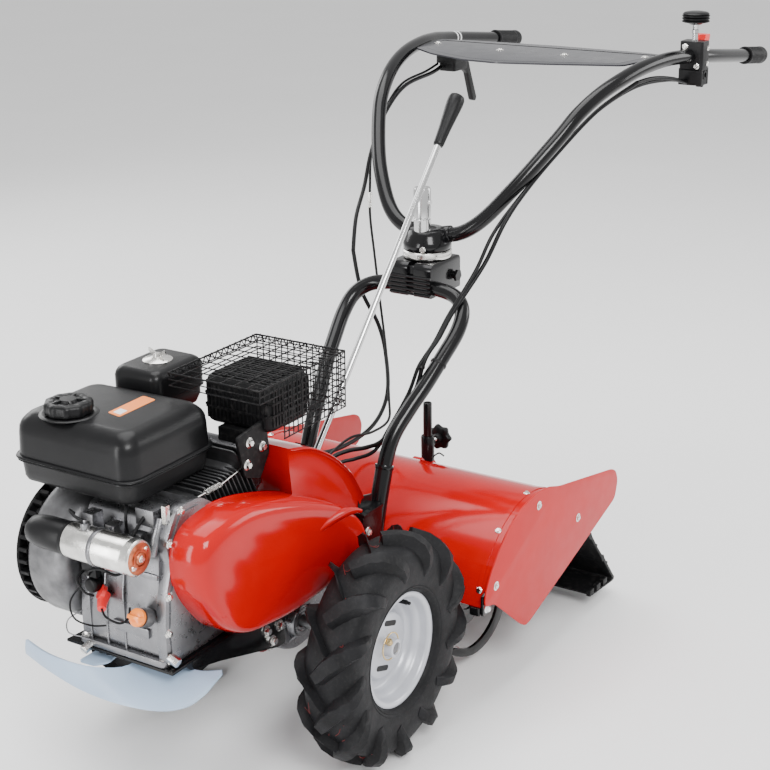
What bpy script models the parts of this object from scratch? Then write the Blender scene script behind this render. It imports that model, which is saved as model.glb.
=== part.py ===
"""Mini cultivator: two-wheel rear-tine machine with a petrol engine, steering handlebar and belt drive.

Drawn in drawing units around the wheel axle: X runs from the engine (-X) to the grips (+X),
-Y is the belt-cover side, Z is up and 0 is the ground. SCALE turns drawing units into metres
and SHIFT_X puts the origin under the middle of the whole machine.
"""

import math

import bmesh
import bpy
from mathutils import Vector

SCALE = 6.0 / 7.0
SHIFT_X = -0.514
GAP = 0.0006

# main stations in the XZ plane
AXLE = (0.0, 0.21)
CRANK = (-0.29, 0.43)
INPUT = (-0.04, 0.41)
ROTOR = (0.40, 0.175)
COLUMN_X = 0.535
ROD_X = 0.532

# wheels
TYRE_R = 0.21
TYRE_Y = 0.233
TYRE_HALF = 0.050
RIM_HALF = 0.0365

# tubes
TUBE_R = 0.0145
ARCH_SIDE = [
    (0.190, 0.090, 0.300), (0.212, 0.088, 0.365), (0.235, 0.087, 0.430), (0.262, 0.090, 0.482),
    (0.300, 0.100, 0.523), (0.342, 0.113, 0.564), (0.385, 0.122, 0.604), (0.430, 0.129, 0.645),
    (0.460, 0.122, 0.676), (0.480, 0.095, 0.695), (0.487, 0.050, 0.702),
]
BAR_SIDE = [
    (0.553, 0.045, 0.794), (0.556, 0.080, 0.808), (0.571, 0.112, 0.835), (0.603, 0.148, 0.882),
    (0.636, 0.175, 0.923), (0.684, 0.205, 0.975), (0.724, 0.224, 1.014), (0.777, 0.242, 1.045),
    (0.838, 0.259, 1.067), (0.908, 0.273, 1.082), (0.987, 0.286, 1.088), (1.060, 0.299, 1.086),
    (1.110, 0.306, 1.081), (1.170, 0.311, 1.074), (1.250, 0.312, 1.064), (1.350, 0.311, 1.0515),
    (1.452, 0.309, 1.039),
]


def collection(name):
    made = bpy.data.collections.new(name)
    bpy.context.scene.collection.children.link(made)
    return made


for old in list(bpy.data.objects):
    bpy.data.objects.remove(old)
PARTS = collection("mini_cultivator")
CUTTERS = collection("cutters")
ROOT = bpy.data.objects.new("frame_origin", None)
ROOT.location = (SHIFT_X * SCALE, 0.0, 0.0)
ROOT.hide_render = True
CUTTERS.objects.link(ROOT)


def material(name, colour, metallic, roughness):
    made = bpy.data.materials.new(name)
    made.use_nodes = True
    shader = made.node_tree.nodes["Principled BSDF"]
    shader.inputs["Base Color"].default_value = (*colour, 1.0)
    shader.inputs["Metallic"].default_value = metallic
    shader.inputs["Roughness"].default_value = roughness
    return made


RED = material("red_paint", (0.62, 0.01, 0.012), 0.0, 0.25)
BLACK_PAINT = material("black_paint", (0.012, 0.012, 0.014), 0.0, 0.3)
BLACK_PLASTIC = material("black_plastic", (0.02, 0.02, 0.022), 0.0, 0.45)
RUBBER = material("tyre_rubber", (0.02, 0.02, 0.021), 0.0, 0.7)
GRIP = material("grip_rubber", (0.015, 0.015, 0.016), 0.0, 0.6)
RIM_PAINT = material("silver_paint", (0.6, 0.61, 0.64), 0.3, 0.35)
CASTING = material("cast_aluminium", (0.5, 0.5, 0.5), 1.0, 0.45)
STEEL = material("steel", (0.6, 0.6, 0.6), 1.0, 0.3)
ZINC = material("zinc_plate", (0.75, 0.74, 0.7), 1.0, 0.22)
PALE = material("pale_paint", (0.55, 0.65, 0.78), 0.0, 0.4)
BELT = material("belt_rubber", (0.03, 0.03, 0.03), 0.0, 0.8)
ORANGE = material("orange_plastic", (0.9, 0.3, 0.02), 0.0, 0.35)
RED_PLASTIC = material("red_plastic", (0.7, 0.02, 0.02), 0.0, 0.35)


def mesh_object(name, verts, faces, mat, pivot=(0, 0, 0), helper=False):
    mesh = bpy.data.meshes.new(name)
    p = Vector(pivot)
    mesh.from_pydata([(Vector(v) - p) * SCALE for v in verts], [], faces)
    mesh.update()
    work = bmesh.new()
    work.from_mesh(mesh)
    bmesh.ops.recalc_face_normals(work, faces=work.faces)
    if work.calc_volume(signed=True) < 0:
        bmesh.ops.reverse_faces(work, faces=work.faces)
    work.to_mesh(mesh)
    work.free()
    made = bpy.data.objects.new(name, mesh)
    made.parent = ROOT
    made.location = p * SCALE
    if mat is not None:
        mesh.materials.append(mat)
    if helper:
        made.hide_render = True
        made.display_type = "WIRE"
        CUTTERS.objects.link(made)
    else:
        PARTS.objects.link(made)
    return made


def extrude(name, outline, lo, hi, axis, mat, pivot=(0, 0, 0), helper=False):
    """Outline points are (x, z) for axis y, (x, y) for axis z and (y, z) for axis x."""
    place = {
        "y": lambda a, b, t: (a, t, b),
        "z": lambda a, b, t: (a, b, t),
        "x": lambda a, b, t: (t, a, b),
    }[axis]
    n = len(outline)
    verts = [place(a, b, lo) for a, b in outline] + [place(a, b, hi) for a, b in outline]
    faces = [list(range(n)), list(range(2 * n - 1, n - 1, -1))]
    faces += [[i, (i + 1) % n, n + (i + 1) % n, n + i] for i in range(n)]
    return mesh_object(name, verts, faces, mat, pivot, helper)


def box(name, lo, hi, mat, pivot=(0, 0, 0), helper=False, cut=0.0):
    """Box with its four upright edges cut back by cut."""
    (x0, y0, z0), (x1, y1, z1) = lo, hi
    if cut:
        outline = [
            (x0 + cut, y0), (x1 - cut, y0), (x1, y0 + cut), (x1, y1 - cut),
            (x1 - cut, y1), (x0 + cut, y1), (x0, y1 - cut), (x0, y0 + cut),
        ]
    else:
        outline = [(x0, y0), (x1, y0), (x1, y1), (x0, y1)]
    return extrude(name, outline, z0, z1, "z", mat, pivot, helper)


def lathe(name, profile, centre, axis, mat, n=32, pivot=None, helper=False, phase=0.0):
    """Closed profile of (radius, along) points turned about an axis; radius 0 makes a pole."""
    u, v, w = {
        "x": (Vector((0, 1, 0)), Vector((0, 0, 1)), Vector((1, 0, 0))),
        "y": (Vector((1, 0, 0)), Vector((0, 0, 1)), Vector((0, 1, 0))),
        "z": (Vector((1, 0, 0)), Vector((0, 1, 0)), Vector((0, 0, 1))),
    }[axis] if isinstance(axis, str) else axis
    c = Vector(centre)
    verts, rings = [], []
    for r, a in profile:
        if r == 0:
            rings.append([len(verts)])
            verts.append(c + w * a)
            continue
        ring = []
        for k in range(n):
            t = 2 * math.pi * k / n + phase
            ring.append(len(verts))
            verts.append(c + w * a + (u * math.cos(t) + v * math.sin(t)) * r)
        rings.append(ring)
    faces = []
    for p, q in zip(rings, rings[1:] + rings[:1]):
        if len(p) == 1 and len(q) == 1:
            continue
        for k in range(n):
            j = (k + 1) % n
            if len(p) == 1:
                faces.append([p[0], q[j], q[k]])
            elif len(q) == 1:
                faces.append([p[k], p[j], q[0]])
            else:
                faces.append([p[k], p[j], q[j], q[k]])
    return mesh_object(name, verts, faces, mat, pivot if pivot is not None else centre, helper)


def rod(name, start, end, r, mat, n=16, pivot=None, helper=False, phase=0.0):
    """Straight round bar between two points."""
    a, b = Vector(start), Vector(end)
    w = (b - a).normalized()
    u = w.orthogonal().normalized()
    length = (b - a).length
    return lathe(name, [(0, 0), (r, 0), (r, length), (0, length)], a, (u, w.cross(u), w), mat, n,
                 pivot if pivot is not None else start, helper, phase)


def sweep(name, path, r, mat, n=10, pivot=(0, 0, 0), helper=False):
    """Round bar along a list of points, with flat ends and rings kept from twisting."""
    pts = [Vector(p) for p in path]
    tangents = []
    for i in range(len(pts)):
        before, after = pts[max(i - 1, 0)], pts[min(i + 1, len(pts) - 1)]
        tangents.append((after - before).normalized())
    side = tangents[0].orthogonal().normalized()
    verts, faces = [], []
    for i, (p, t) in enumerate(zip(pts, tangents)):
        side = (side - t * side.dot(t)).normalized()
        up = t.cross(side)
        for k in range(n):
            a = 2 * math.pi * k / n
            verts.append(p + (side * math.cos(a) + up * math.sin(a)) * r)
        if i:
            for k in range(n):
                j = (k + 1) % n
                faces.append([(i - 1) * n + k, (i - 1) * n + j, i * n + j, i * n + k])
    faces.append(list(range(n)))
    last = (len(pts) - 1) * n
    faces.append([last + k for k in range(n - 1, -1, -1)])
    return mesh_object(name, verts, faces, mat, pivot, helper)


def mirrored(side):
    """Half a symmetric path (from its far end to the middle) made whole."""
    near = [(x, -y, z) for x, y, z in side]
    return near + [(x, y, z) for x, y, z in reversed(side)]


def smooth(path, steps):
    """Catmull-Rom points through a path."""
    pts = [Vector(p) for p in path]
    out = []
    for i in range(len(pts) - 1):
        p0, p1 = pts[max(i - 1, 0)], pts[i]
        p2, p3 = pts[i + 1], pts[min(i + 2, len(pts) - 1)]
        for k in range(steps):
            t = k / steps
            out.append(0.5 * ((2 * p1) + (p2 - p0) * t + (2 * p0 - 5 * p1 + 4 * p2 - p3) * t * t
                              + (3 * p1 - p0 - 3 * p2 + p3) * t * t * t))
    out.append(pts[-1])
    return out


def boolean(target, operand, kind="DIFFERENCE"):
    step = target.modifiers.new(kind.lower(), "BOOLEAN")
    step.operation = kind
    step.solver = "EXACT"
    step.object = operand


def circle(cx, cz, r, n, start=0.0):
    return [(cx + r * math.cos(start + 2 * math.pi * k / n), cz + r * math.sin(start + 2 * math.pi * k / n))
            for k in range(n)]


def arc(cx, cz, r, a0, a1, n):
    return [(cx + r * math.cos(math.radians(a0 + (a1 - a0) * k / n)),
             cz + r * math.sin(math.radians(a0 + (a1 - a0) * k / n))) for k in range(n + 1)]


def belt_loop(c1, r1, c2, r2, n=14):
    """Outline of a belt around two circles, listed anticlockwise from the first circle."""
    dx, dz = c2[0] - c1[0], c2[1] - c1[1]
    base = math.degrees(math.atan2(dz, dx))
    lean = math.degrees(math.acos((r1 - r2) / math.hypot(dx, dz)))
    first = arc(*c1, r1, base + lean, base + 360 - lean, n)
    second = arc(*c2, r2, base - lean, base + lean, n)
    return first + second


# ---------------------------------------------------------------- wheels and axle
AXLE_POS = (AXLE[0], 0.0, AXLE[1])


def wheel(side, s):
    y = s * TYRE_Y
    tyre = [
        (0.0985, 0.0335), (0.1045, 0.0335), (0.1110, 0.0460), (0.1400, TYRE_HALF), (0.1800, TYRE_HALF - 0.003), (0.2040, 0.0350),
        (TYRE_R, 0.0120), (TYRE_R, -0.0120), (0.2040, -0.0350), (0.1800, -TYRE_HALF + 0.003), (0.1400, -TYRE_HALF),
        (0.1110, -0.0460), (0.1045, -0.0335), (0.0985, -0.0335), (0.0985, -0.0200), (0.1350, -0.0400), (0.1780, -0.0340),
        (0.1900, 0.0), (0.1780, 0.0340), (0.1350, 0.0400), (0.0985, 0.0200),
    ]
    lathe("tyre_" + side, tyre, (0, y, AXLE[1]), "y", RUBBER, 36)
    outline = [(r, s * a) for r, a in [
        (0.0110, 0.0260), (0.0170, 0.0260), (0.0170, 0.0050), (0.0600, 0.0050), (0.0640, -0.0020),
        (0.0790, -0.0020), (0.0830, 0.0180), (0.0915, RIM_HALF), (0.1035, RIM_HALF), (0.1035, 0.0345),
        (0.0973, 0.0345), (0.0970, 0.0195), (0.0865, 0.0140), (0.0865, -0.0140), (0.0970, -0.0195),
        (0.0973, -0.0345), (0.1035, -0.0345), (0.1035, -RIM_HALF), (0.0915, -RIM_HALF), (0.0820, -0.0080),
        (0.0620, -0.0070), (0.0170, 0.0),
        (0.0170, -0.0700), (0.0110, -0.0700),
    ]]
    lathe("rim_" + side, outline, (0, y, AXLE[1]), "y", RIM_PAINT, 32)


wheel("left", -1)
wheel("right", 1)
lathe("axle_shaft", [(0, -0.256), (0.0104, -0.256), (0.0104, -0.012), (0.045, -0.012), (0.045, 0.004),
                     (0.0104, 0.004), (0.0104, 0.256), (0, 0.256)], AXLE_POS, "y", STEEL, 24)

# ---------------------------------------------------------------- gearbox
CASE_OUT = [
    (-0.085, 0.395), (-0.085, 0.430), (-0.062, 0.462), (-0.020, 0.465), (0.020, 0.445), (0.070, 0.405),
    (0.150, 0.335), (0.235, 0.283), (0.400, 0.232), (0.440, 0.215), (0.456, 0.175), (0.440, 0.135),
    (0.400, 0.119), (0.350, 0.126), (0.200, 0.160), (0.050, 0.152), (0.000, 0.146), (-0.045, 0.165),
    (-0.064, 0.210), (-0.070, 0.300),
]


def inset(outline, d):
    """Outline moved inwards by d along each corner's mean normal (anticlockwise or clockwise)."""
    pts = [Vector((a, b)) for a, b in outline]
    area = sum(p.x * q.y - q.x * p.y for p, q in zip(pts, pts[1:] + pts[:1]))
    sign = 1 if area > 0 else -1
    out = []
    for i, p in enumerate(pts):
        before, after = (p - pts[i - 1]).normalized(), (pts[(i + 1) % len(pts)] - p).normalized()
        normal = (Vector((-before.y, before.x)) + Vector((-after.y, after.x))).normalized() * sign
        depth = d / max(0.5, normal.dot(Vector((-before.y, before.x)) * sign))
        out.append(tuple(p + normal * depth))
    return out


CASE_IN = inset(CASE_OUT, 0.008)
for side, s in (("left", -1), ("right", 1)):
    half = extrude("gearbox_" + side, CASE_OUT, s * GAP / 2, s * 0.048, "y", CASTING)
    boolean(half, extrude("case_hollow_" + side, CASE_IN, -s * 0.01, s * 0.040, "y", None, helper=True))
    for name, (cx, cz), r in (("axle", AXLE, 0.030), ("rotor", ROTOR, 0.032), ("input", INPUT, 0.026)):
        if name == "input" and s > 0:
            continue
        boolean(half, rod("boss_%s_%s" % (name, side), (cx, s * 0.036, cz), (cx, s * 0.062, cz), r, None, 20,
                          helper=True), "UNION")
    bores = (("axle", AXLE, 0.0108), ("rotor", ROTOR, 0.0128), ("input", INPUT, 0.0090))
    for name, (cx, cz), r in bores:
        if name == "input" and s > 0:
            continue
        boolean(half, rod("bore_%s_%s" % (name, side), (cx, s * 0.030, cz), (cx, s * 0.070, cz), r, None, 18,
                          helper=True, phase=0.06))

# ---------------------------------------------------------------- rotor
ROTOR_POS = (ROTOR[0], 0.0, ROTOR[1])
lathe("rotor_shaft", [(0, -0.235), (0.0124, -0.235), (0.0124, -0.010), (0.034, -0.010), (0.034, 0.006),
                      (0.0124, 0.006), (0.0124, 0.235), (0, 0.235)], ROTOR_POS, "y", STEEL, 20)

TINE = [  # one hooked tine, in (radius, degrees) from its root to its tip and back
    (0.040, 26), (0.075, 14), (0.105, 0), (0.132, -22), (0.150, -45), (0.162, -66), (0.171, -84),
    (0.1725, -92), (0.160, -90), (0.149, -68), (0.137, -46), (0.116, -26), (0.088, -10), (0.060, -6), (0.040, -14),
]


def star(name, y, start, s, thick=0.007):
    cx, cz = ROTOR
    outline = []
    for k in range(4):
        base = start - 90 * k
        for r, a in TINE:
            t = math.radians(base + a)
            outline.append((cx + r * math.cos(t), cz + r * math.sin(t)))
    made = extrude(name, outline, y - thick / 2, y + thick / 2, "y", BLACK_PAINT, ROTOR_POS)
    boolean(made, rod(name + "_hub", (cx, y - 0.014, cz), (cx, y + 0.014, cz), 0.024, None, 20, helper=True),
            "UNION")
    boolean(made, rod(name + "_bore", (cx, y - 0.05, cz), (cx, y + 0.05, cz), 0.0130, None, 18, helper=True, phase=0.06))


star("tines_left_outer", -0.212, -47, -1)
star("tines_left_inner", -0.100, -2, -1)
star("tines_right_inner", 0.100, -32, 1)
star("tines_right_outer", 0.212, -77, 1)

# ---------------------------------------------------------------- hood, end plates, flap
HOOD_ARC = arc(0.400, 0.172, 0.190, 168, 28, 18)
HOOD_IN = arc(0.400, 0.172, 0.1875, 28, 168, 18)
HOOD_PROFILE = [(0.2145, 0.180)] + HOOD_ARC + HOOD_IN + [(0.2170, 0.180)]
HOOD_Y = 0.313
hood = extrude("hood", HOOD_PROFILE, -HOOD_Y, HOOD_Y, "y", RED)
boolean(hood, box("hood_notch", (0.18, -0.056, 0.10), (0.34, 0.056, 0.318), None, helper=True))
boolean(hood, rod("rod_hole", (ROD_X, 0, 0.28), (ROD_X, 0, 0.40), 0.0125, None, 20, helper=True))
PLATE = [
    (0.244, 0.200), (0.208, 0.206), (0.211, 0.240), (0.228, 0.268), (0.258, 0.301), (0.302, 0.337), (0.350, 0.358),
    (0.405, 0.3655), (0.455, 0.360), (0.500, 0.345), (0.735, 0.297), (0.752, 0.288), (0.764, 0.264),
    (0.752, 0.227), (0.629, 0.187), (0.384, 0.108), (0.366, 0.106), (0.344, 0.120),
]
for side, s in (("left", -1), ("right", 1)):
    extrude("hood_end_" + side, PLATE, s * (HOOD_Y + GAP), s * (HOOD_Y + GAP + 0.003), "y", RED)

HINGE = (0.581, 0.248)
HINGE_POS = (HINGE[0], 0.0, HINGE[1])
FLAP = [
    (0.578, 0.252), (0.586, 0.252), (0.655, 0.180), (0.661, 0.181), (0.664, 0.173), (0.718, 0.106),
    (0.724, 0.107), (0.727, 0.099), (0.780, 0.034), (0.776, 0.028), (0.672, 0.036), (0.672, 0.039),
    (0.772, 0.033), (0.724, 0.094), (0.718, 0.095), (0.714, 0.104), (0.661, 0.168), (0.655, 0.170),
    (0.650, 0.178), (0.577, 0.246),
]
extrude("rear_flap", FLAP, -0.3095, 0.3095, "y", BLACK_PAINT, HINGE_POS)

# ---------------------------------------------------------------- depth rod
lathe("depth_sleeve", [(0.0096, 0), (0.0122, 0), (0.0122, 0.009), (0.0135, 0.009), (0.0135, 0.062), (0.0096, 0.062)],
      (ROD_X, 0, 0.3135), "z", BLACK_PAINT, 20)
boolean(bpy.data.objects["depth_sleeve"],
        rod("stud_hole", (ROD_X + 0.005, 0, 0.357), (ROD_X + 0.03, 0, 0.357), 0.0044, None, 12, helper=True))
depth_rod = rod("depth_rod", (ROD_X, 0, 0.010), (ROD_X, 0, 0.447), 0.0090, BLACK_PAINT, 20, pivot=(ROD_X, 0, 0.2))
SHOE = [(0.512, 0.016), (0.512, 0.004), (0.520, 0.0), (0.585, 0.0), (0.612, 0.012), (0.628, 0.030),
        (0.622, 0.034), (0.606, 0.018), (0.582, 0.008), (0.552, 0.008), (0.548, 0.030), (0.516, 0.030)]
boolean(depth_rod, extrude("shoe", SHOE, -0.022, 0.022, "y", None, helper=True), "UNION")
STAR = [(r * math.cos(2 * math.pi * k / 24), r * math.sin(2 * math.pi * k / 24) + 0.357)
        for k, r in enumerate([0.0235, 0.0255, 0.0235, 0.0185] * 6)]
knob = extrude("depth_knob", STAR, 0.565, 0.579, "x", BLACK_PLASTIC, (ROD_X, 0, 0.357))
boolean(knob, rod("knob_stud", (0.5415, 0, 0.357), (0.570, 0, 0.357), 0.0040, None, 12, helper=True), "UNION")

# ---------------------------------------------------------------- chassis and bumper
plate = extrude("chassis_plate", [(-0.375, -0.076), (-0.075, -0.076), (-0.075, 0.120), (-0.375, 0.150)],
                0.283, 0.288, "z", BLACK_PAINT)
CHEEK = [(-0.345, 0.286), (-0.330, 0.272), (-0.255, 0.254), (-0.095, 0.206), (-0.0735, 0.206), (-0.0735, 0.286)]
for side, y0 in (("left", -0.076), ("right", 0.060)):
    boolean(plate, extrude("cheek_" + side, CHEEK, y0, y0 + 0.005, "y", None, helper=True), "UNION")

BUMPER_Y = 0.075
BUMPER_OUT = [(-0.305, -0.130), (-0.352, -0.098), (-0.388, -0.050), (-0.412, 0.0), (-0.424, 0.040), (-0.428, 0.075),
              (-0.424, 0.110), (-0.416, 0.150), (-0.402, 0.195), (-0.384, 0.240), (-0.352, 0.275)]


def bumper():
    """Bowed shield: each station carries a four-point section, deepest at the middle."""
    verts, faces = [], []
    count = len(BUMPER_OUT)
    for i, (x, y) in enumerate(BUMPER_OUT):
        t = abs(i - (count - 1) / 2) / ((count - 1) / 2)
        top = 0.272 + 0.004 * t
        low = 0.206 + 0.046 * t ** 1.6
        back = 0.020 + 0.028 * (1 - t)
        nx, ny = (x + 0.27), (y - BUMPER_Y)
        length = math.hypot(nx, ny)
        nx, ny = nx / length, ny / length
        section = [(0.0, top), (0.0, top - 0.012), (back, low), (back + 0.006, low + 0.006), (0.008, top - 0.010),
                   (0.008, top)]
        for d, z in section:
            verts.append((x - nx * d, y - ny * d, z))
    k = 6
    for i in range(count - 1):
        for j in range(k):
            a, b = i * k + j, i * k + (j + 1) % k
            faces.append([a, b, b + k, a + k])
    faces.append(list(range(k)))
    faces.append([(count - 1) * k + j for j in range(k - 1, -1, -1)])
    return mesh_object("front_bumper", verts, faces, PALE)


shield = bumper()
for side, y0 in (("left", 0.010), ("right", 0.110)):
    boolean(shield, box("bumper_arm_" + side, (-0.418, y0, 0.262), (-0.300, y0 + 0.030, 0.270), None, helper=True),
            "UNION")

# ---------------------------------------------------------------- arch and its bracket
arch_path = mirrored(ARCH_SIDE)
sweep("arch_tube", arch_path, TUBE_R, BLACK_PAINT, 10)
bracket = box("arch_bracket", (0.128, -0.112, 0.372), (0.192, 0.112, 0.378), BLACK_PAINT)
for side, s in (("left", -1), ("right", 1)):
    boolean(bracket, box("bracket_web_" + side, (0.130, s * 0.090 - 0.020, 0.302), (0.190, s * 0.090 + 0.020, 0.375), None,
                         helper=True), "UNION")
    boolean(bracket, sweep("web_clear_" + side, [(x, s * y, z) for x, y, z in
                           [(0.156, 0.092, 0.200)] + ARCH_SIDE[:4]], TUBE_R + 0.0008, None, 16, helper=True))
boolean(bracket, extrude("case_clear", inset(CASE_OUT, -0.0012), -0.0495, 0.0495, "y", None, helper=True))

# ---------------------------------------------------------------- belt drive
COVER = [
    (-0.351, 0.452), (-0.350, 0.482), (-0.338, 0.508), (-0.312, 0.524), (-0.265, 0.531), (-0.219, 0.529),
    (-0.165, 0.518), (-0.096, 0.497), (-0.024, 0.468), (0.045, 0.432), (0.090, 0.396), (0.112, 0.362),
    (0.112, 0.335), (0.060, 0.315), (-0.020, 0.296), (-0.110, 0.290), (-0.180, 0.296), (-0.235, 0.306),
    (-0.285, 0.336), (-0.325, 0.384), (-0.345, 0.420),
]


def cover():
    """Domed shell: outline at the rim, drawn in towards the outer face; open at the back."""
    stages_out = [(-0.0620, 0.0), (-0.1050, 0.0), (-0.1220, 0.006), (-0.1320, 0.016), (-0.1350, 0.034)]
    stages_in = [(-0.1320, 0.036), (-0.1295, 0.019), (-0.1200, 0.009), (-0.1050, 0.003), (-0.0620, 0.003)]
    verts, faces = [], []
    n = len(COVER)
    for y, d in stages_out + stages_in:
        verts += [(a, y, b) for a, b in (inset(COVER, d) if d else COVER)]
    total = len(stages_out) + len(stages_in)
    for i in range(total):
        if i == len(stages_out) - 1:
            continue
        j = (i + 1) % total
        for k in range(n):
            m = (k + 1) % n
            faces.append([i * n + k, i * n + m, j * n + m, j * n + k])
    outer = (len(stages_out) - 1) * n
    faces.append([outer + k for k in range(n)])
    faces.append([outer + n + k for k in range(n - 1, -1, -1)])
    return mesh_object("belt_cover", verts, faces, RED)


belt_cover = cover()
back = extrude("belt_backplate", inset(COVER, 0.0045), -0.0680, -0.0655, "y", BLACK_PAINT)
for name, (cx, cz), r in (("crank", CRANK, 0.020), ("input", INPUT, 0.020)):
    boolean(back, rod("back_hole_" + name, (cx, -0.08, cz), (cx, -0.05, cz), r, None, 24, helper=True))

PULLEY_Y = -0.100


def grooved(r):
    return [(r - 0.008, -0.0036), (r, -0.009), (r, -0.012), (r - 0.012, -0.012)], \
           [(r - 0.012, 0.012), (r, 0.012), (r, 0.009), (r - 0.008, 0.0036)]


low, high = grooved(0.040)
lathe("crankshaft", [(0, -0.128), (0.0115, -0.128), (0.0115, -0.112)] + [(r, a + PULLEY_Y) for r, a in low[::-1]]
      + [(r, a + PULLEY_Y) for r, a in high[::-1]] + [(0.0115, -0.088), (0.0115, 0.060), (0, 0.060)],
      (CRANK[0], 0, CRANK[1]), "y", STEEL, 20)
low, high = grooved(0.050)
lathe("input_shaft", [(0, -0.120), (0.0085, -0.120), (0.0085, -0.112)] + [(r, a + PULLEY_Y) for r, a in low[::-1]]
      + [(r, a + PULLEY_Y) for r, a in high[::-1]] + [(0.0085, -0.088), (0.0085, -0.012), (0.020, -0.012),
      (0.020, 0.004), (0.0085, 0.004), (0.0085, 0.030), (0, 0.030)],
      (INPUT[0], 0, INPUT[1]), "y", STEEL, 20)
outer = belt_loop(CRANK, 0.0395, INPUT, 0.0495)
inner = belt_loop(CRANK, 0.0345, INPUT, 0.0445)


def loop_solid(name, out, inn, y0, y1, mat):
    n = len(out)
    verts = [(a, y0, b) for a, b in out] + [(a, y1, b) for a, b in out]
    verts += [(a, y1, b) for a, b in inn] + [(a, y0, b) for a, b in inn]
    faces = []
    for i in range(4):
        j = (i + 1) % 4
        for k in range(n):
            m = (k + 1) % n
            faces.append([i * n + k, i * n + m, j * n + m, j * n + k])
    return mesh_object(name, verts, faces, mat)


loop_solid("drive_belt", outer, inner, PULLEY_Y - 0.0030, PULLEY_Y + 0.0030, BELT)

# ---------------------------------------------------------------- engine
def stick(x):
    """Point on the dipstick's axis."""
    return (x, -0.030, 0.3878 - 0.4449 * (x + 0.404))


crankcase = extrude("crankcase", [(-0.372, 0.2885), (-0.215, 0.2885), (-0.185, 0.330), (-0.185, 0.400),
                                  (-0.225, 0.520), (-0.330, 0.520), (-0.372, 0.480)], -0.054, 0.120, "y", CASTING)
boolean(crankcase, rod("crank_bore", (CRANK[0], -0.10, CRANK[1]), (CRANK[0], 0.075, CRANK[1]), 0.0119, None, 24,
                       helper=True))
boolean(crankcase, rod("fill_bore", stick(-0.400), stick(-0.355), 0.0092, None, 16, helper=True))

TILT = math.radians(25)
AXIS = Vector((math.cos(TILT), 0, math.sin(TILT)))
CROSS = Vector((-math.sin(TILT), 0, math.cos(TILT)))


def along(a, c):
    """Point (x, z) at distance a along the cylinder axis and c across it."""
    p = Vector((CRANK[0], 0, CRANK[1])) + AXIS * a + CROSS * c
    return (p.x, p.z)


fins = []
START, STEP, COUNT = 0.100, 0.0130, 9
for k in range(COUNT):
    a = START + STEP * k
    fins += [along(a, 0.078), along(a + 0.004, 0.078), along(a + 0.004, 0.045), along(a + STEP, 0.045)]
fins = fins[:-1] + [along(START + STEP * (COUNT - 1) + 0.004, -0.045)]
under = []
for k in range(COUNT - 1, 0, -1):
    a = START + STEP * k
    under += [along(a + 0.004, -0.062), along(a, -0.062), along(a, -0.045), along(a - STEP + 0.004, -0.045)]
fins = fins[:-1] + under + [along(START + 0.004, -0.062), along(START, -0.062)]
cylinder = extrude("cylinder", fins, -0.040, 0.112, "y", CASTING)
boolean(cylinder, extrude("cylinder_foot", [(-0.400, 0.28), (-0.184, 0.28), (-0.184, 0.401), (-0.224, 0.521),
                                            (-0.330, 0.620)], -0.2, 0.2, "y", None, helper=True))
boolean(cylinder, box("tank_clear", (-0.420, -0.1, 0.549), (-0.152, 0.2, 0.70), None, helper=True))
HEAD = [along(0.2085, 0.050), along(0.236, 0.050), along(0.250, 0.036), along(0.250, -0.036), along(0.236, -0.050),
        along(0.2085, -0.050)]
extrude("valve_cover", HEAD, -0.025, 0.095, "y", CASTING)

lathe("fan_housing", [(0, 0.1206), (0.098, 0.1206), (0.117, 0.135), (0.119, 0.195), (0.104, 0.226), (0.070, 0.238),
                      (0, 0.238)], (CRANK[0] + 0.012, 0, CRANK[1] - 0.012), "y", BLACK_PAINT, 28)
boolean(bpy.data.objects["fan_housing"],
        rod("nose_clear", (-0.4005, 0.09, 0.492), (-0.4005, 0.215, 0.492), 0.0282, None, 24, helper=True))
boolean(bpy.data.objects["fan_housing"],
        box("floor_clear", (-0.45, 0.10, 0.25), (-0.10, 0.30, 0.3005), None, helper=True))
lathe("starter_motor", [(0, -0.052), (0.010, -0.052), (0.010, -0.046), (0.026, -0.046), (0.0300, -0.040), (0.0300, 0.092),
                        (0, 0.092)], (-0.4005, 0, 0.492), "y", ZINC, 20)
lathe("starter_nose", [(0, 0.0926), (0.0270, 0.0926), (0.0275, 0.150), (0.0220, 0.178), (0, 0.178)],
      (-0.4005, 0, 0.492), "y", BLACK_PLASTIC, 16)


def rounded(x0, y0, x1, y1, r, n=4):
    """Rounded rectangle in plan."""
    out = []
    for cx, cy, a in ((x1 - r, y1 - r, 0), (x0 + r, y1 - r, 90), (x0 + r, y0 + r, 180), (x1 - r, y0 + r, 270)):
        out += [(cx + r * math.cos(math.radians(a + 90 * k / n)), cy + r * math.sin(math.radians(a + 90 * k / n)))
                for k in range(n + 1)]
    return out


def tray(name, levels, mat, wall):
    """Shell stacked from rounded rectangles (x0, y0, x1, y1, r, z); the last level is closed, the first is open."""
    verts, faces = [], []
    n = len(rounded(0, 0, 1, 1, 0.1))
    sign = 1 if levels[-1][5] > levels[0][5] else -1
    inner = [(x0 + wall, y0 + wall, x1 - wall, y1 - wall, max(r - wall, 0.004), z) for x0, y0, x1, y1, r, z in levels]
    inner[-1] = inner[-1][:5] + (inner[-1][5] - sign * wall,)
    for x0, y0, x1, y1, r, z in levels + inner[::-1]:
        verts += [(a, b, z) for a, b in rounded(x0, y0, x1, y1, r)]
    total, half = len(levels) * 2, len(levels)
    for i in range(total):
        if i == half - 1:
            continue
        j = (i + 1) % total
        for k in range(n):
            m = (k + 1) % n
            faces.append([i * n + k, i * n + m, j * n + m, j * n + k])
    faces.append([(half - 1) * n + k for k in range(n)])
    faces.append([half * n + k for k in range(n - 1, -1, -1)])
    return mesh_object(name, verts, faces, mat)


TANK = (-0.366, 0.004, -0.158, 0.248)


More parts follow.
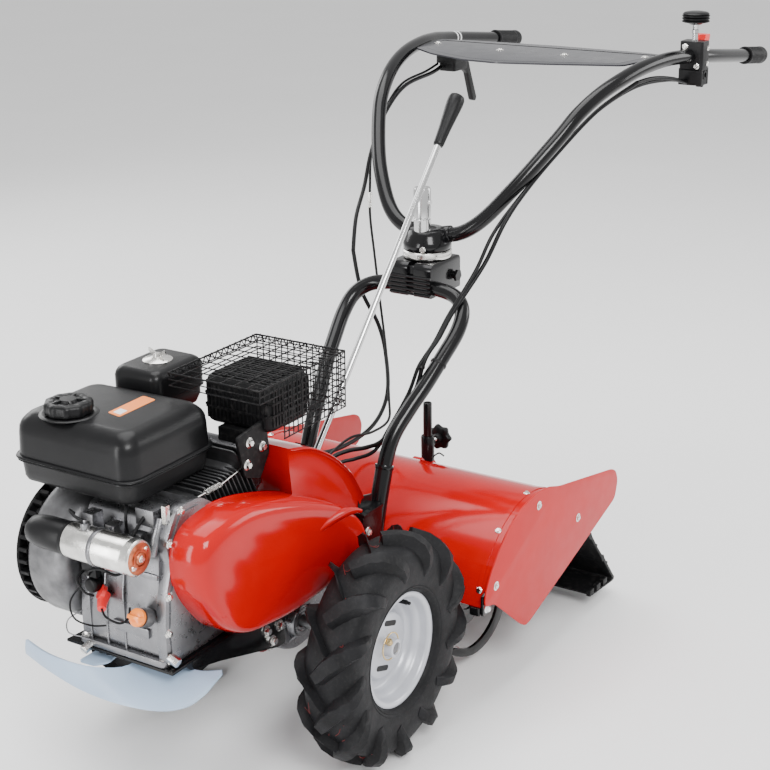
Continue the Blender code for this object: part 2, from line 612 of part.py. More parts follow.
def ring(d, r, z):
    x0, y0, x1, y1 = TANK
    return (x0 + d, y0 + d, x1 - d, y1 - d, r, z)


tank_upper = tray("tank_upper", [ring(0, 0.026, 0.5906), ring(0, 0.026, 0.5945), ring(0.005, 0.024, 0.5955),
                                 ring(0.006, 0.024, 0.645), ring(0.012, 0.022, 0.662), ring(0.026, 0.016, 0.668)],
                  BLACK_PAINT, 0.003)
tray("tank_lower", [ring(0, 0.026, 0.590), ring(0, 0.026, 0.587), ring(0.006, 0.024, 0.586), ring(0.010, 0.024, 0.565),
                    ring(0.026, 0.016, 0.552)], BLACK_PAINT, 0.003)
CAP = (-0.318, 0.158)
boolean(tank_upper, rod("filler_hole", (*CAP, 0.650), (*CAP, 0.680), 0.0225, None, 24, helper=True))
lathe("fuel_cap", [(0, 0.652), (0.0215, 0.652), (0.0215, 0.670), (0.037, 0.670), (0.0385, 0.674), (0.0385, 0.688),
                   (0.034, 0.6935), (0, 0.6935)], (*CAP, 0), "z", BLACK_PLASTIC, 28, pivot=(*CAP, 0.67))

air = tray("air_cleaner_cover", [(-0.153, 0.113, -0.021, 0.215, 0.016, 0.6406), (-0.153, 0.113, -0.021, 0.215, 0.016, 0.678),
                                 (-0.149, 0.117, -0.025, 0.211, 0.014, 0.687), (-0.142, 0.124, -0.032, 0.204, 0.010, 0.690)],
           BLACK_PLASTIC, 0.003)
NUT = (-0.088, 0.164)
boolean(air, rod("stud_clear", (*NUT, 0.60), (*NUT, 0.72), 0.0046, None, 16, helper=True))
nut = lathe("wing_nut", [(0, 0.6320), (0.0040, 0.6320), (0.0040, 0.6906), (0.026, 0.6906), (0.026, 0.6930), (0.008, 0.6930),
                         (0.008, 0.7020), (0, 0.7020)], (*NUT, 0), "z", ZINC, 24, pivot=(*NUT, 0.69))
boolean(nut, extrude("wings", [(-0.022, 0.706), (-0.014, 0.710), (-0.004, 0.698), (0.004, 0.698), (0.014, 0.710),
                               (0.022, 0.706), (0.0095, 0.6920), (-0.0095, 0.6920)],
                     NUT[0] - 0.0015, NUT[0] + 0.0015, "x", None, helper=True), "UNION")
bpy.data.objects["wings"].location.y = NUT[1] * SCALE

muffler = box("muffler", (-0.086, -0.070, 0.596), (0.032, 0.068, 0.680), BLACK_PAINT, cut=0.012)
boolean(muffler, box("muffler_foot", (-0.110, -0.052, 0.566), (-0.084, -0.028, 0.646), None, helper=True, cut=0.003),
        "UNION")


def cage():
    """Open-bottomed wire box: a grid of quads turned into wires of one body."""
    x0, y0, x1, y1, z0, z1 = -0.162, -0.108, 0.070, 0.071, 0.618, 0.702
    nx, ny, nz = 7, 5, 3
    verts, index = [], {}

    def add(p):
        key = tuple(round(c, 5) for c in p)
        if key not in index:
            index[key] = len(verts)
            verts.append(Vector(p))
        return index[key]

    xs = [x0 + (x1 - x0) * i / nx for i in range(nx + 1)]
    ys = [y0 + (y1 - y0) * i / ny for i in range(ny + 1)]
    zs = [z0 + (z1 - z0) * i / nz for i in range(nz + 1)]
    faces = []
    for i in range(nx):
        for j in range(ny):
            faces.append([add((xs[i], ys[j], z1)), add((xs[i + 1], ys[j], z1)), add((xs[i + 1], ys[j + 1], z1)),
                          add((xs[i], ys[j + 1], z1))])
        for k in range(nz):
            for y in (y0, y1):
                faces.append([add((xs[i], y, zs[k])), add((xs[i + 1], y, zs[k])), add((xs[i + 1], y, zs[k + 1])),
                              add((xs[i], y, zs[k + 1]))])
    for j in range(ny):
        for k in range(nz):
            for x in (x0, x1):
                faces.append([add((x, ys[j], zs[k])), add((x, ys[j + 1], zs[k])), add((x, ys[j + 1], zs[k + 1])),
                              add((x, ys[j], zs[k + 1]))])
    mesh = bpy.data.meshes.new("muffler_cage")
    mesh.from_pydata([v * SCALE for v in verts], [], faces)
    work = bmesh.new()
    work.from_mesh(mesh)
    bmesh.ops.recalc_face_normals(work, faces=work.faces)
    work.to_mesh(mesh)
    work.free()
    mesh.materials.append(BLACK_PAINT)
    made = bpy.data.objects.new("muffler_cage", mesh)
    made.parent = ROOT
    PARTS.objects.link(made)
    wires = made.modifiers.new("wires", "WIREFRAME")
    wires.thickness = 0.0024 * SCALE
    wires.use_boundary = True
    wires.use_replace = True
    wires.use_even_offset = False
    return made


cage()
rod("oil_dipstick", stick(-0.396), stick(-0.360), 0.0085, ORANGE, 16)
boolean(bpy.data.objects["oil_dipstick"],
        rod("stick_head", stick(-0.404), stick(-0.3915), 0.0125, None, 16, helper=True, phase=0.1), "UNION")

# ---------------------------------------------------------------- gear lever and its shroud
SHROUD = [(-0.060, 0.566), (0.000, 0.548), (0.060, 0.512), (0.110, 0.466), (0.150, 0.405), (0.147, 0.402),
          (0.106, 0.461), (0.057, 0.506), (-0.002, 0.542), (-0.060, 0.560)]
extrude("lever_shroud", SHROUD, -0.100, 0.020, "y", RED)
LEVER_LOW, LEVER_TOP = Vector((0.056, -0.040, 0.468)), Vector((0.512, -0.040, 0.978))
LEVER_DIR = (LEVER_TOP - LEVER_LOW).normalized()
boolean(bpy.data.objects["lever_shroud"], box("lever_slot", (0.012, -0.062, 0.44), (0.135, -0.018, 0.60), None, helper=True))
lever_root = LEVER_LOW
rod("gear_lever", lever_root, LEVER_TOP + LEVER_DIR * 0.030, 0.0062, STEEL, 14, pivot=lever_root)
side_a = LEVER_DIR.orthogonal().normalized()
lathe("gear_lever_grip", [(0.0066, 0), (0.0105, 0), (0.0115, 0.045), (0.0165, 0.092), (0.0150, 0.104), (0.0, 0.107),
                          (0.0, 0.033), (0.0066, 0.033)], LEVER_TOP, (side_a, LEVER_DIR.cross(side_a), LEVER_DIR),
      BLACK_PLASTIC, 20, pivot=lever_root)
boolean(bpy.data.objects["gear_lever_grip"],
        rod("grip_bore", LEVER_TOP - LEVER_DIR * 0.01, LEVER_TOP + LEVER_DIR * 0.0325, 0.0067, None, 16, helper=True))

# ---------------------------------------------------------------- column, swivel and handlebar
ARCH_TOP = (0.487, 0.0, 0.7025)
clamp = box("column_clamp", (0.470, -0.046, 0.684), (0.584, 0.046, 0.7505), BLACK_PAINT, pivot=ARCH_TOP, cut=0.010)
boolean(clamp, sweep("tube_clear", arch_path, TUBE_R + 0.0006, None, 16, helper=True))
lathe("swivel_ring", [(0.020, 0.7511), (0.047, 0.7511), (0.048, 0.754), (0.048, 0.764), (0.047, 0.7665), (0.020, 0.7665)],
      (COLUMN_X, 0, 0), "z", ZINC, 32, pivot=(COLUMN_X, 0, 0.76))
saddle = lathe("handlebar_saddle", [(0, 0.7675), (0.045, 0.7675), (0.048, 0.772), (0.044, 0.786), (0.034, 0.806), (0, 0.806)],
               (COLUMN_X, 0, 0), "z", BLACK_PAINT, 32, pivot=(COLUMN_X, 0, 0.76))
bar_path = mirrored(BAR_SIDE[::-1])
boolean(saddle, sweep("bar_clear", bar_path, TUBE_R + 0.0006, None, 16, helper=True))
boolean(saddle, rod("lock_clear", (0.517, 0, 0.790), (0.517, 0, 0.90), 0.0172, None, 24, helper=True))
boolean(saddle, box("bar_gap", (0.535, -0.1, 0.7935), (0.70, 0.1, 0.86), None, helper=True))
rod("swivel_lock", (0.517, 0, 0.7905), (0.517, 0, 0.890), 0.0166, ZINC, 24)
sweep("handlebar_tube", bar_path, TUBE_R, BLACK_PAINT, 10, pivot=(COLUMN_X, 0, 0.76))

END = [Vector(p) for p in BAR_SIDE[-2:]]
for side, s in (("left", -1), ("right", 1)):
    a, b = Vector((END[0].x, s * END[0].y, END[0].z)), Vector((END[1].x, s * END[1].y, END[1].z))
    w = (b - a).normalized()
    u = w.orthogonal().normalized()
    inner_r = TUBE_R + 0.0006
    grip_start = b - w * 0.096
    lathe("grip_" + side, [(inner_r, 0), (0.0185, 0), (0.0190, 0.004), (0.0180, 0.050), (0.0190, 0.098), (0.0178, 0.1035),
                           (0.0, 0.1035), (0.0, 0.0975), (inner_r, 0.0975)], grip_start, (u, w.cross(u), w), GRIP, 20,
          pivot=(COLUMN_X, 0, 0.76))

CONSOLE = [(0.880, -0.243), (0.829, -0.100), (0.800, 0.0), (0.806, 0.080), (0.850, 0.180), (0.902, 0.248),
           (1.038, 0.273), (1.052, 0.200), (1.062, 0.0), (1.052, -0.200), (1.038, -0.273)]
extrude("console_plate", CONSOLE, 1.0860, 1.0895, "z", BLACK_PLASTIC, (COLUMN_X, 0, 0.76))

# controls
ctrl = box("near_control_clamp", (1.070, -0.331, 1.026), (1.108, -0.279, 1.116), BLACK_PLASTIC, pivot=(COLUMN_X, 0, 0.76),
           cut=0.006)
boolean(ctrl, sweep("ctrl_bar_clear", [Vector((x, -y, z)) for x, y, z in BAR_SIDE[9:15]], TUBE_R + 0.0006, None, 16,
                    helper=True))
boolean(ctrl, rod("ctrl_hole", (1.089, -0.35, 1.047), (1.089, -0.25, 1.047), 0.0055, None, 12, helper=True))
boolean(ctrl, box("stem_slot", (1.081, -0.312, 1.1040), (1.097, -0.298, 1.13), None, helper=True))
KNOB_PIVOT = (1.089, -0.305, 1.108)
lathe("drive_knob", [(0, 1.1050), (0.0040, 1.1050), (0.0040, 1.138), (0.007, 1.146), (0.012, 1.150), (0.027, 1.156),
                     (0.029, 1.163), (0.024, 1.171), (0, 1.174)], (1.089, -0.305, 0), "z", BLACK_PLASTIC, 24,
      pivot=KNOB_PIVOT)
CATCH_PIVOT = (1.1185, -0.305, 1.104)
extrude("red_catch", [(1.1090, 1.1115), (1.112, 1.103), (1.124, 1.103), (1.138, 1.112), (1.140, 1.124), (1.118, 1.126)],
        -0.318, -0.292, "y", RED_PLASTIC, CATCH_PIVOT)
far_box = box("throttle_box", (0.975, 0.196, 1.030), (1.045, 0.246, 1.0850), BLACK_PLASTIC, pivot=(COLUMN_X, 0, 0.76),
              cut=0.004)
THROTTLE_PIVOT = (1.060, 0.2215, 1.034)
extrude("throttle_lever", [(1.0460, 1.040), (1.052, 1.046), (1.070, 1.042), (1.078, 1.020), (1.106, 0.955), (1.100, 0.948),
                           (1.088, 0.952), (1.064, 1.016), (1.048, 1.026)], 0.2150, 0.2280, "y", BLACK_PLASTIC,
        THROTTLE_PIVOT)

# ---------------------------------------------------------------- control cables (two outer casings)
sweep("clutch_cable", smooth([(0.905, -0.262, 1.052), (0.800, -0.226, 1.014), (0.700, -0.180, 0.944), (0.625, -0.148, 0.868),
                              (0.565, -0.140, 0.780), (0.500, -0.158, 0.690), (0.420, -0.156, 0.615), (0.330, -0.140, 0.530),
                              (0.262, -0.120, 0.455), (0.240, -0.117, 0.400), (0.222, -0.118, 0.350)], 2), 0.0035, BLACK_PLASTIC, 8,
      pivot=(COLUMN_X, 0, 0.76))
sweep("throttle_cable", smooth([(0.960, 0.232, 1.040), (0.900, 0.250, 1.020), (0.800, 0.225, 0.990), (0.700, 0.190, 0.930),
                                (0.580, 0.165, 0.800), (0.480, 0.168, 0.700), (0.420, 0.158, 0.620), (0.340, 0.142, 0.548),
                                (0.250, 0.126, 0.505), (0.140, 0.110, 0.512)], 2), 0.0030, BLACK_PLASTIC, 8,
      pivot=(COLUMN_X, 0, 0.76))
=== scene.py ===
"""Looks for the mini cultivator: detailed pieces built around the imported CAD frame."""
import math
import random

import bmesh
import bpy
from mathutils import Matrix, Vector

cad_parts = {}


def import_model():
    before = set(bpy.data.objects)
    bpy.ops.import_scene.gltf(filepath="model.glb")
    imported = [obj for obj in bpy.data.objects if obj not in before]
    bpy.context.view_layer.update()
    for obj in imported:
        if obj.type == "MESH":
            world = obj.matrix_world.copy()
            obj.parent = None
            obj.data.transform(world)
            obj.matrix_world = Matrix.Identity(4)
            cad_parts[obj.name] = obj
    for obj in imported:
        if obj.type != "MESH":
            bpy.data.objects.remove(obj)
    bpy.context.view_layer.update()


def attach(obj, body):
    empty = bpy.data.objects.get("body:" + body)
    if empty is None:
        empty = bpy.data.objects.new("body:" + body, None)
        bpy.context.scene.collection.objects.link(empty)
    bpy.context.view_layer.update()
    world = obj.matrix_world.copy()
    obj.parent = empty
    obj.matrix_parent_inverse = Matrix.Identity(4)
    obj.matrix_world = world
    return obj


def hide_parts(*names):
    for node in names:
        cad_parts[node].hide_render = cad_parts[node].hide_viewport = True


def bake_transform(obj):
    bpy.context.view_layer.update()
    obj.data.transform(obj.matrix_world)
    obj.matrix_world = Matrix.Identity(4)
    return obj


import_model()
random.seed(7)

# The part is drawn in units around the wheel axle; SCALE and SHIFT turn them into the row frame's metres.
SCALE, SHIFT = 6.0 / 7.0, -0.514
AXLE, CRANK, INPUT, ROTOR = (0.0, 0.21), (-0.29, 0.43), (-0.04, 0.41), (0.40, 0.175)
COLUMN_X, ROD_X, TUBE_R = 0.535, 0.532, 0.0145


def world(p):
    return Vector(((p[0] + SHIFT) * SCALE, p[1] * SCALE, p[2] * SCALE))


# ---------------------------------------------------------------- materials
def material(name, base, rough, metal=0.0, coat=0.0, grain=0.0, grain_scale=900.0, vary=0.12,
    vary_scale=14.0,
    rough_vary=0.08, stretch=(1, 1, 1), spec=0.5, dust=0.0, sheen=0.0):
    """Procedural finish: broad colour drift, uneven gloss, fine grain bump and optional dust."""
    made = bpy.data.materials.new(name)
    made.use_nodes = True
    tree = made.node_tree
    shader = tree.nodes["Principled BSDF"]
    coords = tree.nodes.new("ShaderNodeTexCoord")
    mapping = tree.nodes.new("ShaderNodeMapping")
    mapping.inputs["Scale"].default_value = stretch
    tree.links.new(coords.outputs["Object"], mapping.inputs["Vector"])

    def noise(scale, detail=4.0, stretched=False):
        node = tree.nodes.new("ShaderNodeTexNoise")
        node.inputs["Scale"].default_value = scale
        node.inputs["Detail"].default_value = detail
        source = mapping.outputs["Vector"] if stretched else coords.outputs["Object"]
        tree.links.new(source, node.inputs["Vector"])
        return node

    drift = noise(vary_scale)
    ramp = tree.nodes.new("ShaderNodeValToRGB")
    low, high = ramp.color_ramp.elements
    low.position, high.position = 0.3, 0.72
    low.color = (*[c * (1 - vary) for c in base], 1)
    high.color = (*[min(1.0, c * (1 + vary)) for c in base], 1)
    tree.links.new(drift.outputs["Fac"], ramp.inputs["Fac"])
    colour = ramp.outputs["Color"]
    if dust:
        specks = noise(vary_scale * 9, 8.0)
        mask = tree.nodes.new("ShaderNodeMapRange")
        mask.inputs["From Min"].default_value, mask.inputs["From Max"].default_value = 0.52, 0.75
        mask.inputs["To Max"].default_value = dust
        tree.links.new(specks.outputs["Fac"], mask.inputs["Value"])
        mix = tree.nodes.new("ShaderNodeMix")
        mix.data_type = "RGBA"
        tree.links.new(mask.outputs["Result"], mix.inputs["Factor"])
        tree.links.new(colour, mix.inputs["A"])
        mix.inputs["B"].default_value = (0.20, 0.19, 0.18, 1)
        colour = mix.outputs["Result"]
    tree.links.new(colour, shader.inputs["Base Color"])
    wear = noise(vary_scale * 3.1, 6.0, True)
    span = tree.nodes.new("ShaderNodeMapRange")
    span.inputs["To Min"].default_value = max(0.03, rough - rough_vary)
    span.inputs["To Max"].default_value = min(1.0, rough + rough_vary)
    tree.links.new(wear.outputs["Fac"], span.inputs["Value"])
    tree.links.new(span.outputs["Result"], shader.inputs["Roughness"])
    if grain:
        fine = noise(grain_scale, 3.0, True)
        bump = tree.nodes.new("ShaderNodeBump")
        bump.inputs["Strength"].default_value = grain
        bump.inputs["Distance"].default_value = 0.0006
        tree.links.new(fine.outputs["Fac"], bump.inputs["Height"])
        tree.links.new(bump.outputs["Normal"], shader.inputs["Normal"])
    shader.inputs["Metallic"].default_value = metal
    shader.inputs["Specular IOR Level"].default_value = spec
    shader.inputs["Coat Weight"].default_value = coat
    shader.inputs["Coat Roughness"].default_value = 0.08
    if sheen:
        shader.inputs["Sheen Weight"].default_value = sheen
    return made


FINISH = {  # key: (material, slot of the record)
    "red": (material("gloss_red_paint", (0.42, 0.0004, 0.0016), 0.13, spec=0.30, rough_vary=0.03,
            vary=0.05),
        "red_paint"),
    "red_flat": (material("sheet_red_paint", (0.47, 0.0012, 0.0030), 0.42, spec=0.3, grain=0.05,
            grain_scale=420,
            vary=0.05), "red_paint"),
    "black": (material("satin_black_paint", (0.004, 0.004, 0.0045), 0.17, coat=0.08, spec=0.26, grain=0.06,
            grain_scale=700,
            vary=0.25), "black_paint"),
    "black_matt": (material("matt_black_paint", (0.005, 0.005, 0.0055), 0.50, spec=0.16, grain=0.2,
            grain_scale=900, vary=0.3,
            dust=0.10), "black_paint"),
    "tank": (material("tank_black", (0.0045, 0.0045, 0.005), 0.32, coat=0.05, spec=0.22, grain=0.18,
            grain_scale=1300, vary=0.2),
        "black_paint"),
    "tank_low": (material("tank_underside", (0.010, 0.010, 0.0105), 0.42, spec=0.22, grain=0.3,
            grain_scale=1100,
            vary=0.2), "black_paint"),
    "plastic": (material("moulded_black", (0.005, 0.005, 0.0055), 0.36, spec=0.22, grain=0.16,
            grain_scale=1500, vary=0.2),
        "black_plastic"),
    "console": (material("console_grey", (0.022, 0.022, 0.028), 0.30, coat=0.15, grain=0.03,
            grain_scale=300, vary=0.15),
        "black_plastic"),
    "cable": (material("cable_sheath", (0.004, 0.004, 0.0045), 0.38, spec=0.2, grain=0.1, vary=0.2),
        "cable_casing"),
    "tyre": (material("tyre_compound", (0.008, 0.008, 0.009), 0.54, spec=0.16, grain=0.5, grain_scale=520,
            vary=0.35,
            vary_scale=26, dust=0.04, rough_vary=0.16), "tyre_rubber"),
    "grip": (material("grip_compound", (0.005, 0.005, 0.0055), 0.48, spec=0.2, grain=0.3, grain_scale=1200,
            vary=0.2, dust=0.05),
        "grip_rubber"),
    "rim": (material("rim_silver", (0.50, 0.51, 0.55), 0.34, metal=0.25, coat=0.3, grain=0.12,
            grain_scale=900,
            vary=0.10), "silver_paint"),
    "cast": (material("cast_metal", (0.22, 0.22, 0.23), 0.30, metal=0.95, grain=0.40, grain_scale=620,
            vary=0.14,
            vary_scale=30, rough_vary=0.16), "cast_aluminium"),
    "cast_dark": (material("cast_metal_dark", (0.16, 0.16, 0.165), 0.46, metal=0.85, grain=0.5,
            grain_scale=620,
            vary=0.35, vary_scale=40, rough_vary=0.14), "cast_aluminium"),
    "fins": (material("painted_fins", (0.035, 0.035, 0.037), 0.36, metal=0.3, grain=0.4, grain_scale=800,
            vary=0.4,
            vary_scale=50), "cast_aluminium"),
    "steel": (material("bright_steel", (0.66, 0.66, 0.66), 0.16, metal=1.0, grain=0.08, grain_scale=500,
            stretch=(0.2, 1, 1), vary=0.10), "steel"),
    "zinc": (material("zinc_bright", (0.74, 0.73, 0.70), 0.20, metal=1.0, grain=0.15, grain_scale=420,
            vary=0.18,
            vary_scale=60, stretch=(1, 6, 6)), "zinc_plate"),
    "gold": (material("zinc_yellow", (0.70, 0.52, 0.25), 0.26, metal=1.0, grain=0.1, vary=0.3,
            vary_scale=90),
        "zinc_plate"),
    "copper": (material("copper_brown", (0.50, 0.16, 0.08), 0.34, metal=0.9, grain=0.2, vary=0.35,
            vary_scale=120),
        "zinc_plate"),
    "pale": (material("pale_blue_paint", (0.36, 0.47, 0.62), 0.42, coat=0.15, grain=0.16, grain_scale=300,
            vary=0.05),
        "pale_paint"),
    "belt": (material("belt_compound", (0.02, 0.02, 0.021), 0.7, grain=0.5, vary=0.3), "belt_rubber"),
    "orange": (material("orange_plastic", (0.95, 0.23, 0.01), 0.30, coat=0.3, grain=0.1, vary=0.08),
        "orange_plastic"),
    "red_plastic": (material("red_plastic", (0.75, 0.02, 0.02), 0.34, coat=0.2, grain=0.1, vary=0.1),
        "red_plastic"),
    "dark_red": (material("dark_red_plastic", (0.16, 0.008, 0.008), 0.4, grain=0.15, vary=0.2),
        "red_plastic"),
    "white": (material("white_marking", (0.78, 0.78, 0.78), 0.4, grain=0.1, vary=0.05), "silver_paint"),
    }


# ---------------------------------------------------------------- geometry: points and faces, drawing units
def merge(*parts):
    verts, faces = [], []
    for v, f in parts:
        base = len(verts)
        verts += v
        faces += [[i + base for i in face] for face in f]
    return verts, faces


def moved(part, by):
    return [Vector(v) + Vector(by) for v in part[0]], part[1]


def axes_of(w):
    w = Vector(w).normalized()
    u = w.orthogonal().normalized()
    return u, w.cross(u), w


BASES = {
    "x": (Vector((0, 1, 0)), Vector((0, 0, 1)), Vector((1, 0, 0))),
    "y": (Vector((1, 0, 0)), Vector((0, 0, 1)), Vector((0, 1, 0))),
    "z": (Vector((1, 0, 0)), Vector((0, 1, 0)), Vector((0, 0, 1))),
    }


def turned(profile, centre, axis="y", n=72, lobes=None):
    """Closed profile of (radius, along) points turned about an axis; radius 0 makes a pole."""
    u, v, w = BASES[axis] if isinstance(axis, str) else axes_of(axis)
    c = Vector(centre)
    verts, rings, faces = [], [], []
    for r, a in profile:
        if r == 0:
            rings.append([len(verts)])
            verts.append(c + w * a)
            continue
        ring = []
        for k in range(n):
            t = 2 * math.pi * k / n
            s = r * (lobes(t) if lobes else 1.0)
            ring.append(len(verts))
            verts.append(c + w * a + (u * math.cos(t) + v * math.sin(t)) * s)
        rings.append(ring)
    for p, q in zip(rings, rings[1:] + rings[:1]):
        if len(p) == 1 and len(q) == 1:
            continue
        for k in range(n):
            j = (k + 1) % n
            if len(p) == 1:
                faces.append([p[0], q[j], q[k]])
            elif len(q) == 1:
                faces.append([p[k], p[j], q[0]])
            else:
                faces.append([p[k], p[j], q[j], q[k]])
    return verts, faces


def bar(start, end, r, n=24, chamfer=0.0):
    a, b = Vector(start), Vector(end)
    length = (b - a).length
    c = min(chamfer, r * 0.6)
    profile = [(0, 0), (r - c, 0), (r, c), (r, length - c), (r - c, length), (0, length)] if c else \
        [(0, 0), (r, 0), (r, length), (0, length)]
    return turned(profile, a, b - a, n)


def plate(outline, lo, hi, axis="y"):
    place = {"y": lambda a, b, t: (a, t, b), "z": lambda a, b, t: (a, b, t), "x": lambda a, b,
        t: (t, a, b)}[axis]
    n = len(outline)
    verts = [Vector(place(a, b, lo)) for a, b in outline] + [Vector(place(a, b, hi)) for a, b in outline]
    faces = [list(range(n)), list(range(2 * n - 1, n - 1, -1))]
    faces += [[i, (i + 1) % n, n + (i + 1) % n, n + i] for i in range(n)]
    return verts, faces


def block(lo, hi, r=0.0):
    return plate(round_rect(lo[0], lo[1], hi[0], hi[1], r) if r else
        [(lo[0], lo[1]), (hi[0], lo[1]), (hi[0], hi[1]), (lo[0], hi[1])], lo[2], hi[2], "z")


def round_rect(x0, y0, x1, y1, r, n=5):
    out = []
    for cx, cy, a in ((x1 - r, y1 - r, 0), (x0 + r, y1 - r, 90), (x0 + r, y0 + r, 180),
        (x1 - r, y0 + r, 270)):
        out += [(cx + r * math.cos(math.radians(a + 90 * k / n)),
                cy + r * math.sin(math.radians(a + 90 * k / n)))
            for k in range(n + 1)]
    return out


def fillet(outline, r, n=4):
    """Outline with each corner rounded by about r."""
    pts, out = [Vector(p) for p in outline], []
    for i, p in enumerate(pts):
        a, b = pts[i - 1] - p, pts[(i + 1) % len(pts)] - p
        d = min(r, a.length * 0.45, b.length * 0.45)
        p0, p1 = p + a.normalized() * d, p + b.normalized() * d
        for k in range(n + 1):
            t = k / n
            out.append(tuple(p0 * (1 - t) ** 2 + p * 2 * t * (1 - t) + p1 * t * t))
    return out


def inset(outline, d):
    pts = [Vector(p) for p in outline]
    area = sum(p.x * q.y - q.x * p.y for p, q in zip(pts, pts[1:] + pts[:1]))
    sign = 1 if area > 0 else -1
    out = []
    for i, p in enumerate(pts):
        before, after = (p - pts[i - 1]).normalized(), (pts[(i + 1) % len(pts)] - p).normalized()
        normal = (Vector((-before.y, before.x)) + Vector((-after.y, after.x))).normalized() * sign
        depth = d / max(0.5, normal.dot(Vector((-before.y, before.x)) * sign))
        out.append(tuple(p + normal * depth))
    return out


def stack(rings, cap=(True, True)):
    """Solid through a list of equal-length point rings."""
    verts, faces = [], []
    n = len(rings[0])
    for ring in rings:
        verts += [Vector(p) for p in ring]
    for i in range(len(rings) - 1):
        for k in range(n):
            m = (k + 1) % n
            faces.append([i * n + k, i * n + m, (i + 1) * n + m, (i + 1) * n + k])
    if cap[0]:
        faces.append(list(range(n - 1, -1, -1)))
    if cap[1]:
        faces.append([(len(rings) - 1) * n + k for k in range(n)])
    return verts, faces


def smooth(path, steps=6):
    pts = [Vector(p) for p in path]
    out = []
    for i in range(len(pts) - 1):
        p0, p1 = pts[max(i - 1, 0)], pts[i]
        p2, p3 = pts[i + 1], pts[min(i + 2, len(pts) - 1)]
        for k in range(steps):
            t = k / steps
            out.append(0.5 * ((2 * p1) + (p2 - p0) * t + (2 * p0 - 5 * p1 + 4 * p2 - p3) * t * t
                    + (3 * p1 - p0 - 3 * p2 + p3) * t * t * t))
    out.append(pts[-1])
    return out


def tube(path, r, n=20, steps=6):
    """Round bar along a smoothed path; r is a radius or a function of 0..1 along it."""
    pts = smooth(path, steps) if steps else [Vector(p) for p in path]
    radius = r if callable(r) else (lambda t: r)
    side = None
    verts, faces = [], []
    count = len(pts)
    for i, p in enumerate(pts):
        t = (pts[min(i + 1, count - 1)] - pts[max(i - 1, 0)]).normalized()
        side = t.orthogonal().normalized() if side is None else (side - t * side.dot(t)).normalized()
        up = t.cross(side)
        rr = radius(i / (count - 1))
        verts += [p + (side * math.cos(2 * math.pi * k / n) + up * math.sin(2 * math.pi * k / n)) * rr
            for k in range(n)]
        if i:
            for k in range(n):
                j = (k + 1) % n
                faces.append([(i - 1) * n + k, (i - 1) * n + j, i * n + j, i * n + k])
    faces.append(list(range(n)))
    faces.append([(count - 1) * n + k for k in range(n - 1, -1, -1)])
    return verts, faces


def bolt(at, out, r=0.0055, tall=0.0045, flange=True, n=6):
    """Hex head on a flange, standing on a surface at a point, facing out."""
    u, v, w = axes_of(out)
    p = Vector(at) - w * 0.001
    head = turned([(0, 0), (r, 0), (r, tall * 0.8), (r * 0.82, tall + 0.001), (0, tall + 0.001)], p, w, n)
    if not flange:
        return head
    return merge(turned([(0, 0), (r * 1.45, 0), (r * 1.5, 0.0012), (r * 1.1, 0.0026), (0, 0.0026)], p, w,
            20), head)


# ---------------------------------------------------------------- pieces
def piece(name, geometry, finish, body, *replaced, bevel=0.0, segments=2, sharp=38, limit=28):
    """Object from drawing-unit geometry, with rounded edges, smooth shading and its place in the frame."""
    verts, faces = geometry
    mesh = bpy.data.meshes.new(name)
    mesh.from_pydata([world(v) for v in verts], [], faces)
    work = bmesh.new()
    work.from_mesh(mesh)
    bmesh.ops.remove_doubles(work, verts=work.verts, dist=1e-6)
    bmesh.ops.recalc_face_normals(work, faces=work.faces)
    if bevel:
        edges = [e for e in work.edges if len(e.link_faces) == 2
            and e.calc_face_angle(0) > math.radians(limit)]
        bmesh.ops.bevel(work, geom=edges, offset=bevel * SCALE, segments=segments, profile=0.6,
            affect="EDGES",
            clamp_overlap=True)
    work.to_mesh(mesh)
    work.free()
    mesh.shade_smooth()
    mesh.set_sharp_from_angle(angle=math.radians(sharp))
    made = bpy.data.objects.new(name, mesh)
    bpy.context.scene.collection.objects.link(made)
    look, slot = FINISH[finish]
    mesh.materials.append(look)
    if body:
        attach(made, body)
    if replaced:
        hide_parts(*replaced)
    return made


# ---------------------------------------------------------------- camera, light, floor
YAW, PITCH, ROLL = math.radians(56.8), math.radians(19.761), math.radians(-0.9436)
EYE = (-2.1508, -1.6353, 1.5948)
right = Vector((math.cos(YAW), -math.sin(YAW), 0))
look = Vector((math.sin(YAW) * math.cos(PITCH), math.cos(YAW) * math.cos(PITCH), -math.sin(PITCH)))
up = right.cross(look)
right_r = right * math.cos(ROLL) + up * math.sin(ROLL)
up_r = -right * math.sin(ROLL) + up * math.cos(ROLL)
lens = bpy.data.cameras.new("camera")
lens.sensor_width = 36.0
lens.lens = 77.787
lens.shift_x, lens.shift_y = 0.01006, 0.01169
camera = bpy.data.objects.new("camera", lens)
camera.matrix_world = Matrix.Translation(world(EYE)) @ Matrix((right_r, up_r, -look)).transposed().to_4x4()
bpy.context.scene.collection.objects.link(camera)
bpy.context.scene.camera = camera


def area(name, at, aim, size, power, colour=(1, 1, 1)):
    lamp = bpy.data.lights.new(name, "AREA")
    lamp.shape, lamp.size, lamp.size_y, lamp.energy, lamp.color = "RECTANGLE", size[0], size[1], power, colour
    made = bpy.data.objects.new(name, lamp)
    made.location = at
    made.rotation_euler = (Vector(aim) - Vector(at)).to_track_quat("-Z", "Y").to_euler()
    bpy.context.scene.collection.objects.link(made)


area("key", (-2.2, -2.4, 2.9), (0, 0, 0.4), (1.4, 1.4), 120)
area("fill", (2.4, -2.2, 1.6), (0, 0, 0.4), (1.8, 1.4), 40)
area("top", (0.0, 0.3, 3.2), (0, 0, 0.3), (2.6, 2.2), 95)
area("back", (0.6, 3.0, 1.8), (0, 0, 0.4), (2.4, 1.4), 45)
area("front_strip", (-2.6, 0.6, 0.9), (-0.4, 0, 0.4), (0.5, 1.6), 28)

